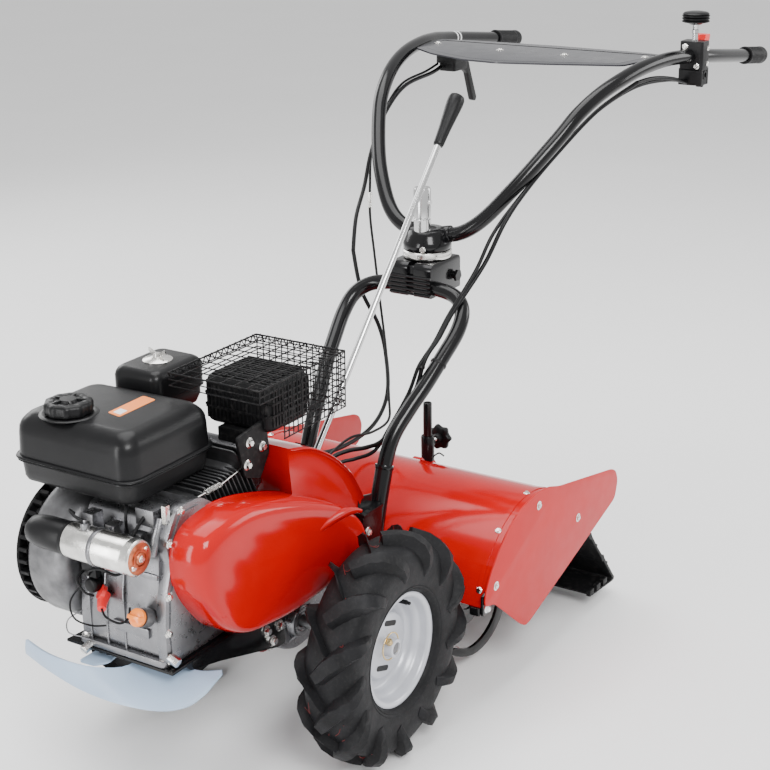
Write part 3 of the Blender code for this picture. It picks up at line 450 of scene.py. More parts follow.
sky = bpy.data.worlds.new("studio")
bpy.context.scene.world = sky
sky.use_nodes = True
sky.node_tree.nodes["Background"].inputs["Color"].default_value = (1.0, 1.0, 1.0, 1)
sky.node_tree.nodes["Background"].inputs["Strength"].default_value = 0.95

floor_mesh = bpy.data.meshes.new("studio_floor")
half = 9.0
floor_mesh.from_pydata([(-half, -half, 0), (half, -half, 0), (half, half, 0), (-half, half, 0)], [],
    [[0, 1, 2, 3]])
floor = bpy.data.objects.new("studio_floor", floor_mesh)
bpy.context.scene.collection.objects.link(floor)
floor_mesh.materials.append(material("pale_floor", (0.90, 0.90, 0.90), 0.75, vary=0.01, vary_scale=2.0,
        spec=0.2))

# ---------------------------------------------------------------- wheels
CARCASS = [(0.0, 0.1925), (0.018, 0.1915), (0.032, 0.1880), (0.042, 0.1805), (0.0475, 0.170),
    (0.0500, 0.156),
    (0.0500, 0.140), (0.0485, 0.125), (0.0460, 0.114), (0.0405, 0.1065), (0.0345, 0.1040)]


def along_carcass(d):
    """Point (across, radius) and outward normal at distance d from the tread's centre line."""
    sign = 1 if d >= 0 else -1
    left = abs(d)
    for (a0, r0), (a1, r1) in zip(CARCASS, CARCASS[1:]):
        step = math.hypot(a1 - a0, r1 - r0)
        if left <= step:
            t = left / step
            n = Vector((-(r1 - r0), (a1 - a0))) / step
            return a0 + (a1 - a0) * t, r0 + (r1 - r0) * t, n, sign
        left -= step
    return CARCASS[-1][0], CARCASS[-1][1], Vector((1, 0)), sign


def lug(y, side, start, lead):
    """One tread bar: from the centre line out over the shoulder and down the sidewall."""
    rings = []
    count = 15
    for i in range(count):
        t = i / (count - 1)
        d = -0.004 + 0.094 * t
        a, r, normal, sign = along_carcass(d)
        a *= sign
        theta = start - lead * (1.15 * t - 0.32 * t * t)
        height = 0.0178 * (1 - 0.10 * t) if t < 0.52 else 0.0169 * max(0.0,
            1 - ((t - 0.52) / 0.48) ** 1.25) + 0.0012
        wide = 0.0105 + 0.0030 * math.sin(math.pi * min(1, t * 1.6)) - 0.0045 * max(0, t - 0.6) / 0.4
        swing = Vector((math.cos(theta), 0, math.sin(theta)))
        turn = Vector((-math.sin(theta), 0, math.cos(theta)))
        point = Vector((0, 0, AXLE[1])) + swing * r + Vector((0, y + side * a, 0))
        out = swing * normal.y + Vector((0, side * sign * normal.x, 0))
        # keep the bar square to its own run: lean its width back along the carcass
        run = (turn * (-lead * 0.9 * r) + (out.cross(turn)) * 0.094).normalized()
        width = out.cross(run).normalized()
        top = min(height, 0.2096 - r) if t < 0.45 else height
        rings.append([point - out * 0.004 - width * (wide + 0.0045),
                point - out * 0.004 + width * (wide + 0.0045),
                point + out * top * 0.55 + width * (wide + 0.0018), point + out * top + width * wide * 0.86,
                point + out * top - width * wide * 0.86,
                point + out * top * 0.55 - width * (wide + 0.0018)])
    return stack(rings)


def tyre(y):
    outer = [(r, a) for a, r in CARCASS[::-1]] + [(r, -a) for a, r in CARCASS[1:]]
    inner = [(0.0985, -0.0335), (0.0985, 0.0335)]
    body = turned([(r, a) for r, a in outer] + inner, (0, y, AXLE[1]), "y", 144)
    ribs = [turned([(r - 0.001, s * (a - 0.001)), (r + 0.0012, s * (a + 0.0011)),
                (r + 0.0026, s * (a - 0.001))],
            (0, y, AXLE[1]), "y", 144) for s in (-1, 1) for a, r in ((0.0462, 0.1150), (0.0436, 0.1095))]
    lugs = []
    count = 13
    for k in range(count):
        for side, lag in ((-1, 0.0), (1, 0.5)):
            lugs.append(lug(y, side, 2 * math.pi * (k + lag) / count + 0.1, math.radians(31)))
    return merge(body, *ribs, *lugs)


def hairs(y, s):
    """Moulding hairs left standing on the tread bars."""
    out = []
    for k in range(46):
        theta, a = random.uniform(0, 2 * math.pi), s * random.uniform(-0.03, 0.044)
        _, r, _, _ = along_carcass(abs(a))
        swing = Vector((math.cos(theta), 0, math.sin(theta)))
        base = Vector((0, y + a, AXLE[1])) + swing * (r + 0.002)
        lean = Vector((random.uniform(-1, 1), random.uniform(-0.6, 0.6),
                random.uniform(-1, 1))).normalized()
        tip = base + swing * 0.004 + lean * random.uniform(0.008, 0.018)
        out.append(tube([base, base * 0.5 + tip * 0.5 + lean.orthogonal() * 0.002, tip], 0.00045, 5, 3))
    return merge(*out)


RIM = [(0.0108, 0.0255), (0.0116, 0.0265), (0.0160, 0.0265), (0.0170, 0.0255), (0.0170, 0.0085),
    (0.0182, 0.0065),
    (0.0240, 0.0050), (0.0560, 0.0050), (0.0595, 0.0035), (0.0625, -0.0030), (0.0660, -0.0055),
    (0.0770, -0.0055), (0.0805, -0.0030), (0.0825, 0.0050), (0.0845, 0.0135), (0.0880, 0.0160),
    (0.0902, 0.0200), (0.0915, 0.0300), (0.0935, 0.0345), (0.0975, 0.0365), (0.1020, 0.0368),
    (0.1036, 0.0356), (0.1034, 0.0338), (0.0960, 0.0325), (0.0945, 0.0200), (0.0865, 0.0140),
    (0.0865, -0.0140), (0.0945, -0.0200), (0.0960, -0.0325), (0.1034, -0.0338), (0.1036, -0.0356),
    (0.1020, -0.0368), (0.0975, -0.0365), (0.0915, -0.0300), (0.0830, -0.0140), (0.0810, -0.0090),
    (0.0620, -0.0070), (0.0175, -0.0010), (0.0170, -0.0700), (0.0108, -0.0700)]


def wheel(side, s):
    y = s * 0.233
    piece("tyre_" + side + "_treaded", tyre(y), "tyre", "wheel_set", "tyre_" + side, sharp=44)
    piece("tyre_" + side + "_hairs", hairs(y, s), "dark_red", "wheel_set")
    piece("rim_" + side + "_pressed", turned([(r, s * a) for r, a in RIM], (0, y, AXLE[1]), "y", 120),
        "rim",
        "wheel_set", "rim_" + side, sharp=50)
    # Black fills in the rim's slots: painted shade, standing in for the dark seen through the openings.
    slot_shades = []
    for k in range(2):
        t = math.radians(250 + 180 * k)
        u, v = Vector((math.cos(t), 0, math.sin(t))), Vector((-math.sin(t), 0, math.cos(t)))
        centre = Vector((0, y + s * 0.0045, AXLE[1])) + u * 0.040
        ring = [centre + v * a + u * b for a, b in round_rect(-0.0190, -0.0050, 0.0190, 0.0050, 0.0048, 4)]
        slot_shades.append(stack([[p - Vector((0, s * 0.003, 0)) for p in ring],
                    [p + Vector((0, s * 0.0010, 0)) for p in ring]]))
    piece("rim_" + side + "_slots", merge(*slot_shades), "plastic", "wheel_set")
    valve = Vector((0.081 * math.cos(1.1), y + s * 0.002, AXLE[1] + 0.081 * math.sin(1.1)))
    piece("valve_" + side, merge(bar(valve, valve + Vector((0, s * 0.024, 0)), 0.0042, 16, 0.001),
            bar(valve + Vector((0, s * 0.022, 0)), valve + Vector((0, s * 0.030, 0)), 0.0032, 12,
                0.0008)), "plastic", "wheel_set")
    # linch pin through the hub tube, with its spring ring
    hub = Vector((0, y + s * 0.0195, AXLE[1]))
    pin_dir = Vector((-0.62, 0, 0.78)).normalized()
    ring = []
    for k in range(25):
        a = math.radians(-150 + 300 * k / 24)
        ring.append(hub + pin_dir * (0.004 + 0.0245 * math.cos(a)) + pin_dir.cross(Vector((0, 1,
                    0))) * 0.0245 * math.sin(a)
            - Vector((0, s * 0.004, 0)))
    piece("linch_pin_" + side,
        merge(bar(hub - pin_dir * 0.020, hub + pin_dir * 0.026, 0.0040, 16, 0.001),
            tube(ring, 0.0013, 10, 2),
            turned([(0, 0), (0.0062, 0), (0.0066, 0.006), (0.0045, 0.008), (0, 0.008)],
                hub + pin_dir * 0.019,
                pin_dir, 20)), "gold", "wheel_set")


wheel("left", -1)
wheel("right", 1)
piece("axle_shaft_turned", turned([(0, -0.257), (0.0085, -0.257), (0.0100, -0.2555), (0.0100, -0.012),
            (0.045, -0.012), (0.045, 0.004), (0.0100, 0.004), (0.0100, 0.2555), (0.0085, 0.257),
            (0, 0.257)],
        (0, 0, AXLE[1]), "y", 48), "cast_dark", "wheel_set", "axle_shaft")

# ---------------------------------------------------------------- fuel tank
TANK = (-0.371, -0.010, -0.158, 0.250)


def tank_ring(d, r, z, n=7):
    """Rounded outline, a little wider on the belt side, drawn in by d."""
    x0, y0, x1, y1 = TANK
    ring = []
    for a, b in round_rect(x0 + d, y0 + d, x1 - d, y1 - d, r, n):
        across = (a - x0) / (x1 - x0)
        ring.append((a + 0.014 * across * (y1 - b) / (y1 - y0), b, z))
    return ring


piece("tank_shell_upper", stack([tank_ring(*q) for q in (
            (0.004, 0.030, 0.5925), (0.0045, 0.030, 0.600), (0.0055, 0.030, 0.632), (0.0070, 0.029, 0.6445),
            (0.0105, 0.027, 0.6525), (0.0165, 0.024, 0.6595), (0.0225, 0.021, 0.6648),
            (0.0280, 0.018, 0.6672), (0.0340, 0.016, 0.6680))]), "tank", "machine",
    "tank_upper", sharp=60)
piece("tank_seam", merge(
        stack([tank_ring(*q) for q in ((0.004, 0.030, 0.5955), (0.0005, 0.031, 0.5950),
            (-0.001, 0.032, 0.5925), (0.0005, 0.031, 0.5905), (0.004, 0.030, 0.5900))]),
        stack([tank_ring(*q) for q in ((0.004, 0.030, 0.5900), (0.0015, 0.030, 0.5895),
            (0.0010, 0.031, 0.5875), (0.0030, 0.030, 0.5862))])), "tank", "machine", sharp=60)
piece("tank_shell_lower", stack([tank_ring(*q) for q in (
            (0.026, 0.016, 0.5480), (0.0185, 0.020, 0.5490), (0.0130, 0.023, 0.5520),
            (0.0100, 0.025, 0.5580), (0.0085, 0.028, 0.5690), (0.0070, 0.029, 0.5835),
            (0.0060, 0.030, 0.5880))]), "tank_low", "machine", "tank_lower", sharp=60)
CAP_AT = (-0.318, 0.158, 0.0)
piece("tank_cap_well", turned([(0.030, 0.6650), (0.0475, 0.6660), (0.0490, 0.6680), (0.0470, 0.6696),
            (0.0425, 0.6700), (0.0380, 0.6690), (0.0300, 0.6690)], CAP_AT, "z", 64), "tank", "machine",
    sharp=60)
piece("fuel_cap_lobed", merge(
        turned([(0, 0.6695), (0.0355, 0.6695), (0.0385, 0.6712), (0.0392, 0.6750), (0.0392, 0.6840),
            (0.0372, 0.6885), (0.0330, 0.6905), (0.0240, 0.6900), (0.0225, 0.6885), (0.0150, 0.6885),
            (0.0135, 0.6925), (0, 0.6930)],
            CAP_AT, "z", 120, lambda t: 1.0 + 0.035 * max(-0.6, math.cos(10 * t)))),
    "plastic", "tank_cap", "fuel_cap", sharp=42)
piece("fuel_cap_ribs", merge(*[
            stack([[Vector(CAP_AT) + Vector((math.cos(t), math.sin(t), 0)) * r
            + Vector((-math.sin(t), math.cos(t), 0)) * w + Vector((0, 0, z)) for w, z in
            ((-0.0026, 0.6875), (0.0026, 0.6875), (0.0018, 0.6925 - drop), (-0.0018, 0.6925 - drop))]
            for r, drop in ((0.013, 0.0), (0.024, 0.0006), (0.033, 0.0026))])
            for t in [2 * math.pi * k / 5 + 0.3 for k in range(5)]]), "plastic", "tank_cap", bevel=0.0006)
piece("tank_label", plate(fillet([(-0.292, 0.074), (-0.286, 0.104), (-0.196, 0.106), (-0.200, 0.076)],
            0.004), 0.6679, 0.6684, "z"),
    "orange", "machine")
piece("tank_label_pale", plate(fillet([(-0.284, 0.080), (-0.281, 0.097), (-0.262, 0.098), (-0.264, 0.081)],
            0.002), 0.6683, 0.6687, "z"),
    "white", "machine")

# ---------------------------------------------------------------- air cleaner and carburettor
def cleaner_ring(d, r, z):
    return [(a, b, z) for a, b in round_rect(-0.153 + d, 0.113 + d, -0.021 - d, 0.215 - d, r, 6)]


piece("air_cleaner_top", stack([cleaner_ring(*q) for q in (
            (0.0, 0.017, 0.6400), (0.0, 0.017, 0.6740), (0.0015, 0.017, 0.6800), (0.0050, 0.015, 0.6855),
            (0.0095, 0.013, 0.6888), (0.0140, 0.010, 0.6900))]), "tank", "machine", "air_cleaner_cover",
    sharp=60)
piece("air_cleaner_case", merge(
        stack([cleaner_ring(*q) for q in ((0.004, 0.015, 0.6398), (0.004, 0.015, 0.622),
            (0.010, 0.013, 0.606))]),
        stack([cleaner_ring(*q) for q in ((-0.001, 0.017, 0.6400), (-0.001, 0.017, 0.6370),
            (0.004, 0.016, 0.6365))]),
        block((-0.112, 0.118, 0.545), (-0.058, 0.190, 0.610)),
        bar((-0.085, 0.150, 0.55), (-0.085, 0.205, 0.55), 0.017, 24)),
    "plastic", "machine", bevel=0.0015)
piece("carburettor", merge(
        block((-0.118, 0.112, 0.520), (-0.072, 0.160, 0.575)),
        turned([(0, 0.485), (0.019, 0.485), (0.021, 0.490), (0.021, 0.515),
            (0.017, 0.522), (0, 0.522)], (-0.095, 0.136, 0), "z", 32),
        bolt((-0.095, 0.136, 0.485), (0, 0, -1), 0.005),
        bar((-0.13, 0.136, 0.55), (-0.06, 0.136, 0.55), 0.011, 24)), "cast", "machine", bevel=0.002)
NUT = (-0.088, 0.164)
piece("cleaner_wing_nut", merge(
        turned([(0, 0.6895), (0.0250, 0.6895), (0.0262, 0.6905), (0.0262, 0.6915), (0.0245, 0.6928),
            (0.0120, 0.6950), (0.0075, 0.6965), (0.0065, 0.7020), (0, 0.7030)], (*NUT, 0), "z", 64),
        *[stack([[(NUT[0] + w, NUT[1] + s * a, z - h), (NUT[0] + w, NUT[1] + s * a, z + h),
            (NUT[0] - w, NUT[1] + s * a, z + h),
            (NUT[0] - w, NUT[1] + s * a, z - h)] for a, z, h, w in
            ((0.002, 0.6985, 0.0035, 0.0024), (0.008, 0.7010, 0.0038, 0.0018),
            (0.014, 0.7045, 0.0040, 0.0014), (0.0185, 0.7070, 0.0028, 0.0011))]) for s in (-1, 1)]), "zinc",
    "cleaner_nut", "wing_nut", sharp=40)

# ---------------------------------------------------------------- muffler and its guard
def muffler_ring(d, r, z):
    return [(a, b, z) for a, b in round_rect(-0.086 + d, -0.070 + d, 0.032 - d, 0.068 - d, r, 6)]


louvres = []
for k in range(13):
    x = -0.0765 + 0.0083 * k
    for y in (-0.0715, 0.0675):
        louvres.append(block((x, y, 0.606), (x + 0.0042, y + 0.002, 0.668)))
    louvres.append(block((x, -0.058, 0.6790), (x + 0.0042, 0.056, 0.6825)))
for k in range(15):
    y = -0.0600 + 0.0083 * k
    for x in (-0.0875, 0.0315):
        louvres.append(block((x, y, 0.606), (x + 0.002, y + 0.0042, 0.668)))
for z in (0.624, 0.645):
    louvres.append(block((-0.080, -0.0722, z), (0.026, 0.070, z + 0.0040)))
    louvres.append(block((-0.0882, -0.064, z), (0.0340, 0.062, z + 0.0040)))
for y in (-0.028, 0.026):
    louvres.append(block((-0.080, y, 0.679), (0.026, y + 0.005, 0.6832)))
piece("muffler_body", merge(
        stack([muffler_ring(*q) for q in ((0.006, 0.014, 0.5965), (0.001, 0.018, 0.6005),
            (0.0, 0.018, 0.604), (0.0, 0.018, 0.671), (0.0020, 0.017, 0.6765), (0.0070, 0.014, 0.6800))]),
        *louvres), "black_matt", "machine", "muffler", sharp=42)
piece("muffler_bracket", merge(
        plate(fillet([(-0.158, 0.610), (-0.140, 0.535), (-0.098, 0.520), (-0.070, 0.560), (-0.078, 0.622)],
            0.008), -0.056, -0.050),
        block((-0.10, -0.053, 0.560), (-0.070, 0.030, 0.598)),
        tube([(-0.052, 0.0, 0.600), (-0.060, 0.0, 0.575),
            (-0.085, 0.0, 0.560), (-0.105, 0.0, 0.552)], 0.016, 20)), "black_matt", "machine", bevel=0.0015)
piece("muffler_bolts", merge(*[bolt(p, (0, -1, 0), 0.0062, 0.006) for p in
            ((-0.125, -0.056, 0.593), (-0.133, -0.056, 0.556), (-0.090, -0.056, 0.575))]), "zinc",
    "machine")
WX0, WX1, WY0, WY1, WZ0, WZ1 = -0.166, 0.076, -0.112, 0.075, 0.604, 0.705
wires = []


def wire(points, r=0.00115):
    wires.append(tube(points, r, 6, 0))


for k in range(10):  # level wires on the walls
    z = WZ1 - 0.0112 * k
    start = WX0 + (0.0 if k < 3 else 0.062)
    wire([(start, WY0, z), (WX1, WY0, z), (WX1, WY1, z)] + ([(WX0, WY1, z), (WX0, WY0, z)] if k < 3
            else []))
for k in range(20):  # upright wires, each with a small hook over the top edge
    x = WX0 + (WX1 - WX0) * k / 19
    low = WZ1 - 0.0112 * (2 if x < WX0 + 0.060 else 9)
    wire([(x, WY0, low), (x, WY0 - 0.0012, WZ1 + 0.0006), (x, WY0 + 0.005, WZ1 + 0.0012)])
    wire([(x, WY0 + 0.004, WZ1), (x, WY1, WZ1)] if k % 2 == 0
        else [(x, WY0 + 0.004, WZ1), (x, WY0 + 0.018, WZ1)])
for k in range(15):
    y = WY0 + (WY1 - WY0) * k / 14
    wire([(WX1, y, WZ0), (WX1 + 0.0012, y, WZ1), (WX1 - 0.006, y, WZ1 + 0.0012)])
    if k % 2 == 0:
        wire([(WX0, y, WZ1), (WX1, y, WZ1)])
zigzag = []
for k in range(30):  # the woven hem along the far and outer edges
    zigzag.append((WX0 + (WX1 - WX0) * k / 29, WY1 + 0.0015, WZ1 - (0.012 if k % 2 else -0.001)))
wire(zigzag, 0.0013)
wire([(WX1 + 0.0015, WY0 + (WY1 - WY0) * k / 23, WZ1 - (0.012 if k % 2 else -0.001)) for k in range(24)],
    0.0013)
wire([(WX1 + 0.0012, WY0 + (WY1 - WY0) * k / 23, WZ0 + (0.012 if k % 2 else 0.0)) for k in range(24)],
    0.0013)
for p, q in (((WX0, WY0), (WX1, WY0)), ((WX1, WY0), (WX1, WY1)), ((WX1, WY1), (WX0, WY1)),
    ((WX0, WY1), (WX0, WY0))):
    wire([(*p, WZ1), (*q, WZ1)], 0.0017)
wire([(0.040, WY0, WZ0 + 0.006), (0.034, -0.05, 0.600), (0.010, -0.04, 0.597)], 0.0016)
wire([(WX1, 0.03, WZ0 + 0.004), (0.050, 0.03, 0.598), (0.020, 0.03, 0.598)], 0.0016)
piece("muffler_guard", merge(*wires), "black_matt", "machine", "muffler_cage")

# ---------------------------------------------------------------- cylinder, head and crankcase
TILT = math.radians(25)
AXIS = Vector((math.cos(TILT), 0, math.sin(TILT)))
CROSS = Vector((-math.sin(TILT), 0, math.cos(TILT)))


def on_bore(a, c, y=0.0):
    p = Vector((CRANK[0], 0, CRANK[1])) + AXIS * a + CROSS * c
    return Vector((p.x, y, p.z))


def fin(a, c0, c1, y0, y1, thick=0.0028, r=0.010):
    ring = round_rect(c0, y0, c1, y1, r, 4)
    return stack([[on_bore(a, c, y) for c, y in ring], [on_bore(a + thick, c, y) for c, y in ring]])


fins = []
for k in range(12):
    a = 0.096 + 0.0096 * k
    top = 0.078 if a > 0.190 else min(0.078, (0.5485 - 0.43 - 0.4226 * (a + 0.003)) / 0.9063)
    fins.append(fin(a, -0.062, top, -0.044, 0.112))
piece("cylinder_fins", merge(*fins), "fins", "machine", "cylinder", bevel=0.0005, segments=1)
piece("cylinder_barrel", merge(stack([[on_bore(a, c, y) for c,
            y in round_rect(-0.045, -0.030, 0.045, 0.098, 0.02)]
            for a in (0.085, 0.214)]), block((-0.245, -0.02, 0.500), (-0.205, 0.085, 0.532))),
    "cast_dark", "machine")
piece("head_cover", merge(stack([[on_bore(a, c, y) for c,
            y in round_rect(-0.050 + d, -0.025 + d, 0.050 - d, 0.095 - d, 0.014, 5)]
            for a, d in ((0.2085, -0.004), (0.2125, -0.004), (0.2135, 0.0), (0.238, 0.0), (0.2455, 0.0025),
            (0.2500, 0.008))]),
        *[bolt(on_bore(0.2128, c, y), AXIS, 0.004, 0.005, True) for c in (-0.049, 0.049)
            for y in (-0.018, 0.088)]), "cast", "machine", "valve_cover", sharp=45)
SIDE_COVER = fillet([(-0.370, 0.292), (-0.372, 0.352), (-0.366, 0.412), (-0.350, 0.455), (-0.357, 0.505),
        (-0.326, 0.552),
        (-0.270, 0.552), (-0.222, 0.520), (-0.190, 0.450), (-0.187, 0.330), (-0.212, 0.292)], 0.012)
CASE_BODY = fillet([(-0.368, 0.300), (-0.368, 0.350), (-0.362, 0.410), (-0.356, 0.480), (-0.326, 0.530),
        (-0.226, 0.518),
        (-0.188, 0.400), (-0.188, 0.330), (-0.212, 0.300)], 0.012)
BASE_PLAN = [(-0.374, -0.060), (-0.212, -0.060), (-0.212, 0.124), (-0.374, 0.124)]
case = [plate(CASE_BODY, -0.046, 0.118), plate(fillet(BASE_PLAN, 0.012), 0.2885, 0.301, "z")]
case += [plate([(-0.370, 0.300), (-0.346, 0.300), (-0.346, 0.470), (-0.358, 0.470), (-0.370, 0.400)], y,
        y + 0.005)
    for y in (0.022, 0.060, 0.096)]
case += [bar((-0.352, y, 0.302), (-0.352, y, 0.330), 0.009, 20) for y in (-0.040, 0.105)]
case += [block((-0.374, -0.030, 0.335), (-0.35, 0.045, 0.352)),
    block((-0.362, -0.045, 0.436), (-0.345, 0.110, 0.446)),
    bar((-0.366, -0.040, 0.480), (-0.338, -0.040, 0.535), 0.008, 18)]
piece("crankcase_casting", merge(*case), "cast", "machine", "crankcase", bevel=0.003)
piece("crankcase_cover", merge(plate(SIDE_COVER, -0.0638, -0.0460),
        plate(inset(SIDE_COVER, 0.010), -0.0665, -0.060)), "cast",
    "machine", bevel=0.002)
piece("crankcase_bolts", merge(*[bolt((x, -0.0638, z), (0, -1, 0), 0.0055, 0.0055) for x, z in
            ((-0.362, 0.300), (-0.364, 0.350), (-0.358, 0.412), (-0.348, 0.500), (-0.318, 0.545))],
        *[bolt((x, y, 0.301), (0, 0, 1), 0.0065, 0.006) for x, y in
            ((-0.362, -0.050), (-0.362, 0.114), (-0.224, 0.114))],
        bar((-0.366, -0.064, 0.310), (-0.366, -0.082, 0.303), 0.0085, 6),
        bar((-0.372, 0.098, 0.292), (-0.392, 0.098, 0.288), 0.0080, 6)), "zinc", "machine", bevel=0.0006)


def stick(x):
    return Vector((x, -0.030, 0.3878 - 0.4449 * (x + 0.404)))


out = (stick(-0.404) - stick(-0.360)).normalized()
wing = [stick(-0.392) + out * o + Vector((0, 1, 0)) * y for o, y in
    ((0.0, -0.0135), (0.0060, -0.0160), (0.0165, -0.0125), (0.0190, 0.0), (0.0165, 0.0125),
        (0.0060, 0.0160), (0.0, 0.0135))]
lift = out.cross(Vector((0, 1, 0))).normalized() * 0.0032
piece("dipstick_head", merge(
        turned([(0, 0), (0.0085, 0), (0.0085, 0.026), (0.0140, 0.027), (0.0150, 0.0295), (0.0148, 0.0350),
            (0.0100, 0.0375), (0, 0.0380)], stick(-0.368), out, 40, lambda t: 1.0),
        stack([[p - lift for p in wing], [p + lift for p in wing]])), "orange", "dipstick", "oil_dipstick",
    bevel=0.0008)
piece("oil_filler_neck", turned([(0.0095, 0.004), (0.0150, 0.004), (0.0160, 0.018), (0.0150, 0.0245),
            (0.0095, 0.0245)],
        stick(-0.368), out, 40), "cast_dark", "machine")

# fan housing and recoil starter
FAN = (CRANK[0] + 0.012, 0, CRANK[1] - 0.012)
piece("fan_shroud", turned([(0, 0.1215), (0.100, 0.1215), (0.112, 0.1260), (0.1175, 0.1340),
            (0.1190, 0.1450), (0.1190, 0.1930), (0.1165, 0.2020), (0.1080, 0.2090), (0.1000, 0.2105),
            (0, 0.2105)], FAN, "y", 96), "cast_dark",
    "machine", "fan_housing", sharp=50)
vents = []
for k in range(34):
    t = 2 * math.pi * k / 34
    u, v = Vector((math.cos(t), 0, math.sin(t))), Vector((-math.sin(t), 0, math.cos(t)))
    c = Vector((FAN[0], 0, FAN[2]))
    vents.append(stack([[c + u * r + v * w + Vector((0, y, 0)) for w, y in
                ((-0.0034, 0.2085), (0.0034, 0.2085), (0.0034, 0.2290), (-0.0034, 0.2290))]
                for r in (0.0985, 0.1150)]))
piece("recoil_vanes", merge(*vents, turned([(0.092, 0.228), (0.114, 0.226), (0.1165, 0.2295),
            (0.110, 0.2335), (0.092, 0.236)],
            FAN, "y", 96)), "black_matt", "machine", bevel=0.0008, segments=1)
piece("recoil_cover", turned([(0, 0.205), (0.094, 0.205), (0.094, 0.2340), (0.0880, 0.2385),
            (0.0600, 0.2385), (0.0540, 0.2370), (0.0480, 0.2385), (0.0300, 0.2395), (0, 0.2395)], FAN, "y",
        96), "cast_dark", "machine", sharp=40)

# starter motor
MOTOR = (-0.4005, 0, 0.492)
piece("starter_body", merge(
        turned([(0, -0.0460), (0.0250, -0.0460), (0.0285, -0.0450), (0.0300, -0.0425), (0.0300, -0.0300),
            (0.0296, -0.0295), (0.0300, -0.0288), (0.0300, 0.0790), (0.0292, 0.0800), (0.0292, 0.0925),
            (0, 0.0925)], MOTOR, "y", 80)), "zinc",
    "machine", "starter_motor", sharp=30)
piece("starter_end_cap", merge(
        turned([(0, -0.0500), (0.0085, -0.0500), (0.0100, -0.0485), (0.0105, -0.0465), (0.0235, -0.0470),
            (0.0262, -0.0462), (0.0262, -0.0440), (0, -0.0440)], MOTOR, "y", 64),
        turned([(0.0125, -0.0488), (0.0165, -0.0488), (0.0165, -0.0440), (0.0125, -0.0440)], MOTOR, "y",
            48)), "copper", "machine")
piece("starter_studs", merge(*[bolt((MOTOR[0] + 0.019 * math.cos(t), -0.0462,
            MOTOR[2] + 0.019 * math.sin(t)), (0, -1, 0), 0.0034, 0.004) for t in (0.6, 0.6 + math.pi)],
        bolt((MOTOR[0], -0.0490, MOTOR[2]), (0, -1, 0), 0.0044, 0.0050)), "zinc", "machine")
piece("starter_gear_case", merge(
        turned([(0, 0.0926), (0.0262, 0.0926), (0.0275, 0.0950), (0.0275, 0.1480), (0.0262, 0.1600),
            (0.0230, 0.1740), (0.0195, 0.1780), (0, 0.1780)], MOTOR, "y", 64),
        turned([(0.0270, 0.0940), (0.0290, 0.0940), (0.0290, 0.1000), (0.0270, 0.1000)],
            MOTOR, "y", 64)), "plastic", "machine", "starter_nose", sharp=40)
piece("starter_clamp", merge(
        turned([(0.0298, 0.0300), (0.0318, 0.0302), (0.0318, 0.0378), (0.0298, 0.0380)], MOTOR, "y", 64),
        block((-0.376, 0.026, 0.478), (-0.352, 0.044, 0.520)),
        block((-0.376, 0.070, 0.455), (-0.350, 0.092, 0.530)),
        bar((-0.405, 0.058, 0.520), (-0.405, 0.058, 0.531), 0.0080, 20),
        bar((-0.405, 0.058, 0.530), (-0.405, 0.058, 0.536), 0.004, 6)),
    "cast", "machine", bevel=0.0012)
# switches, boots, hoses and wires on the front of the crankcase
piece("oil_switch_boot", merge(tube([(-0.372, 0.060, 0.392), (-0.385, 0.054, 0.384),
            (-0.396, 0.046, 0.379)],
            lambda t: 0.0105 - 0.0035 * t, 20, 5),
        tube([(-0.374, 0.060, 0.394), (-0.378, 0.064, 0.398)], 0.0125, 20, 2)), "red_plastic", "machine")
piece("level_sensor_cap", merge(turned([(0, 0), (0.0120, 0), (0.0130, 0.003), (0.0130, 0.016),
            (0.0105, 0.0200), (0, 0.0210)],
            (-0.364, 0.080, 0.404), (-1, 0, 0.1), 32),
        block((-0.380, 0.068, 0.420), (-0.366, 0.098, 0.448)),
        block((-0.378, -0.006, 0.448), (-0.362, 0.018, 0.470))), "plastic", "machine", bevel=0.0012)
piece("engine_wiring", merge(
        tube([(-0.404, 0.058, 0.532), (-0.412, 0.070, 0.540), (-0.405, 0.090, 0.545),
            (-0.385, 0.100, 0.530)], 0.0026, 10),
        tube([(-0.396, 0.046, 0.379), (-0.404, 0.030, 0.372), (-0.400, 0.006, 0.366),
            (-0.388, -0.002, 0.372), (-0.376, 0.004, 0.384)], 0.0019, 10),
        tube([(-0.376, 0.086, 0.420), (-0.388, 0.074, 0.436), (-0.390, 0.050, 0.446),
            (-0.384, 0.022, 0.440), (-0.372, 0.006, 0.450)], 0.0024, 10),
        tube([(-0.376, 0.094, 0.430), (-0.394, 0.096, 0.418), (-0.398, 0.080, 0.402),
            (-0.386, 0.070, 0.392)], 0.0020, 10),
        tube([(-0.378, 0.104, 0.400), (-0.392, 0.118, 0.372), (-0.396, 0.108, 0.346),
            (-0.384, 0.084, 0.334), (-0.374, 0.060, 0.336)], 0.0016, 10),
        tube([(-0.366, 0.012, 0.460), (-0.372, -0.004, 0.500), (-0.352, -0.016, 0.535),
            (-0.320, -0.020, 0.548)], 0.0030, 10),
        tube([(-0.352, 0.020, 0.500), (-0.362, 0.012, 0.530), (-0.350, 0.020, 0.548),
            (-0.330, 0.040, 0.552)], 0.0026, 10)),
    "cable", "machine")
piece("engine_clips", merge(tube([(-0.372, 0.110, 0.350), (-0.390, 0.128, 0.336), (-0.404, 0.116, 0.322),
            (-0.398, 0.090, 0.318)],
            0.0011, 8),
        block((-0.366, -0.020, 0.500), (-0.350, 0.004, 0.512)), bar((-0.366, -0.004, 0.470),
            (-0.350, -0.004, 0.500), 0.006, 18),
        block((-0.352, -0.036, 0.522), (-0.318, 0.0, 0.550)),
        bar((-0.340, -0.050, 0.528), (-0.318, -0.050, 0.528), 0.009, 18)), "cast", "machine", bevel=0.001)
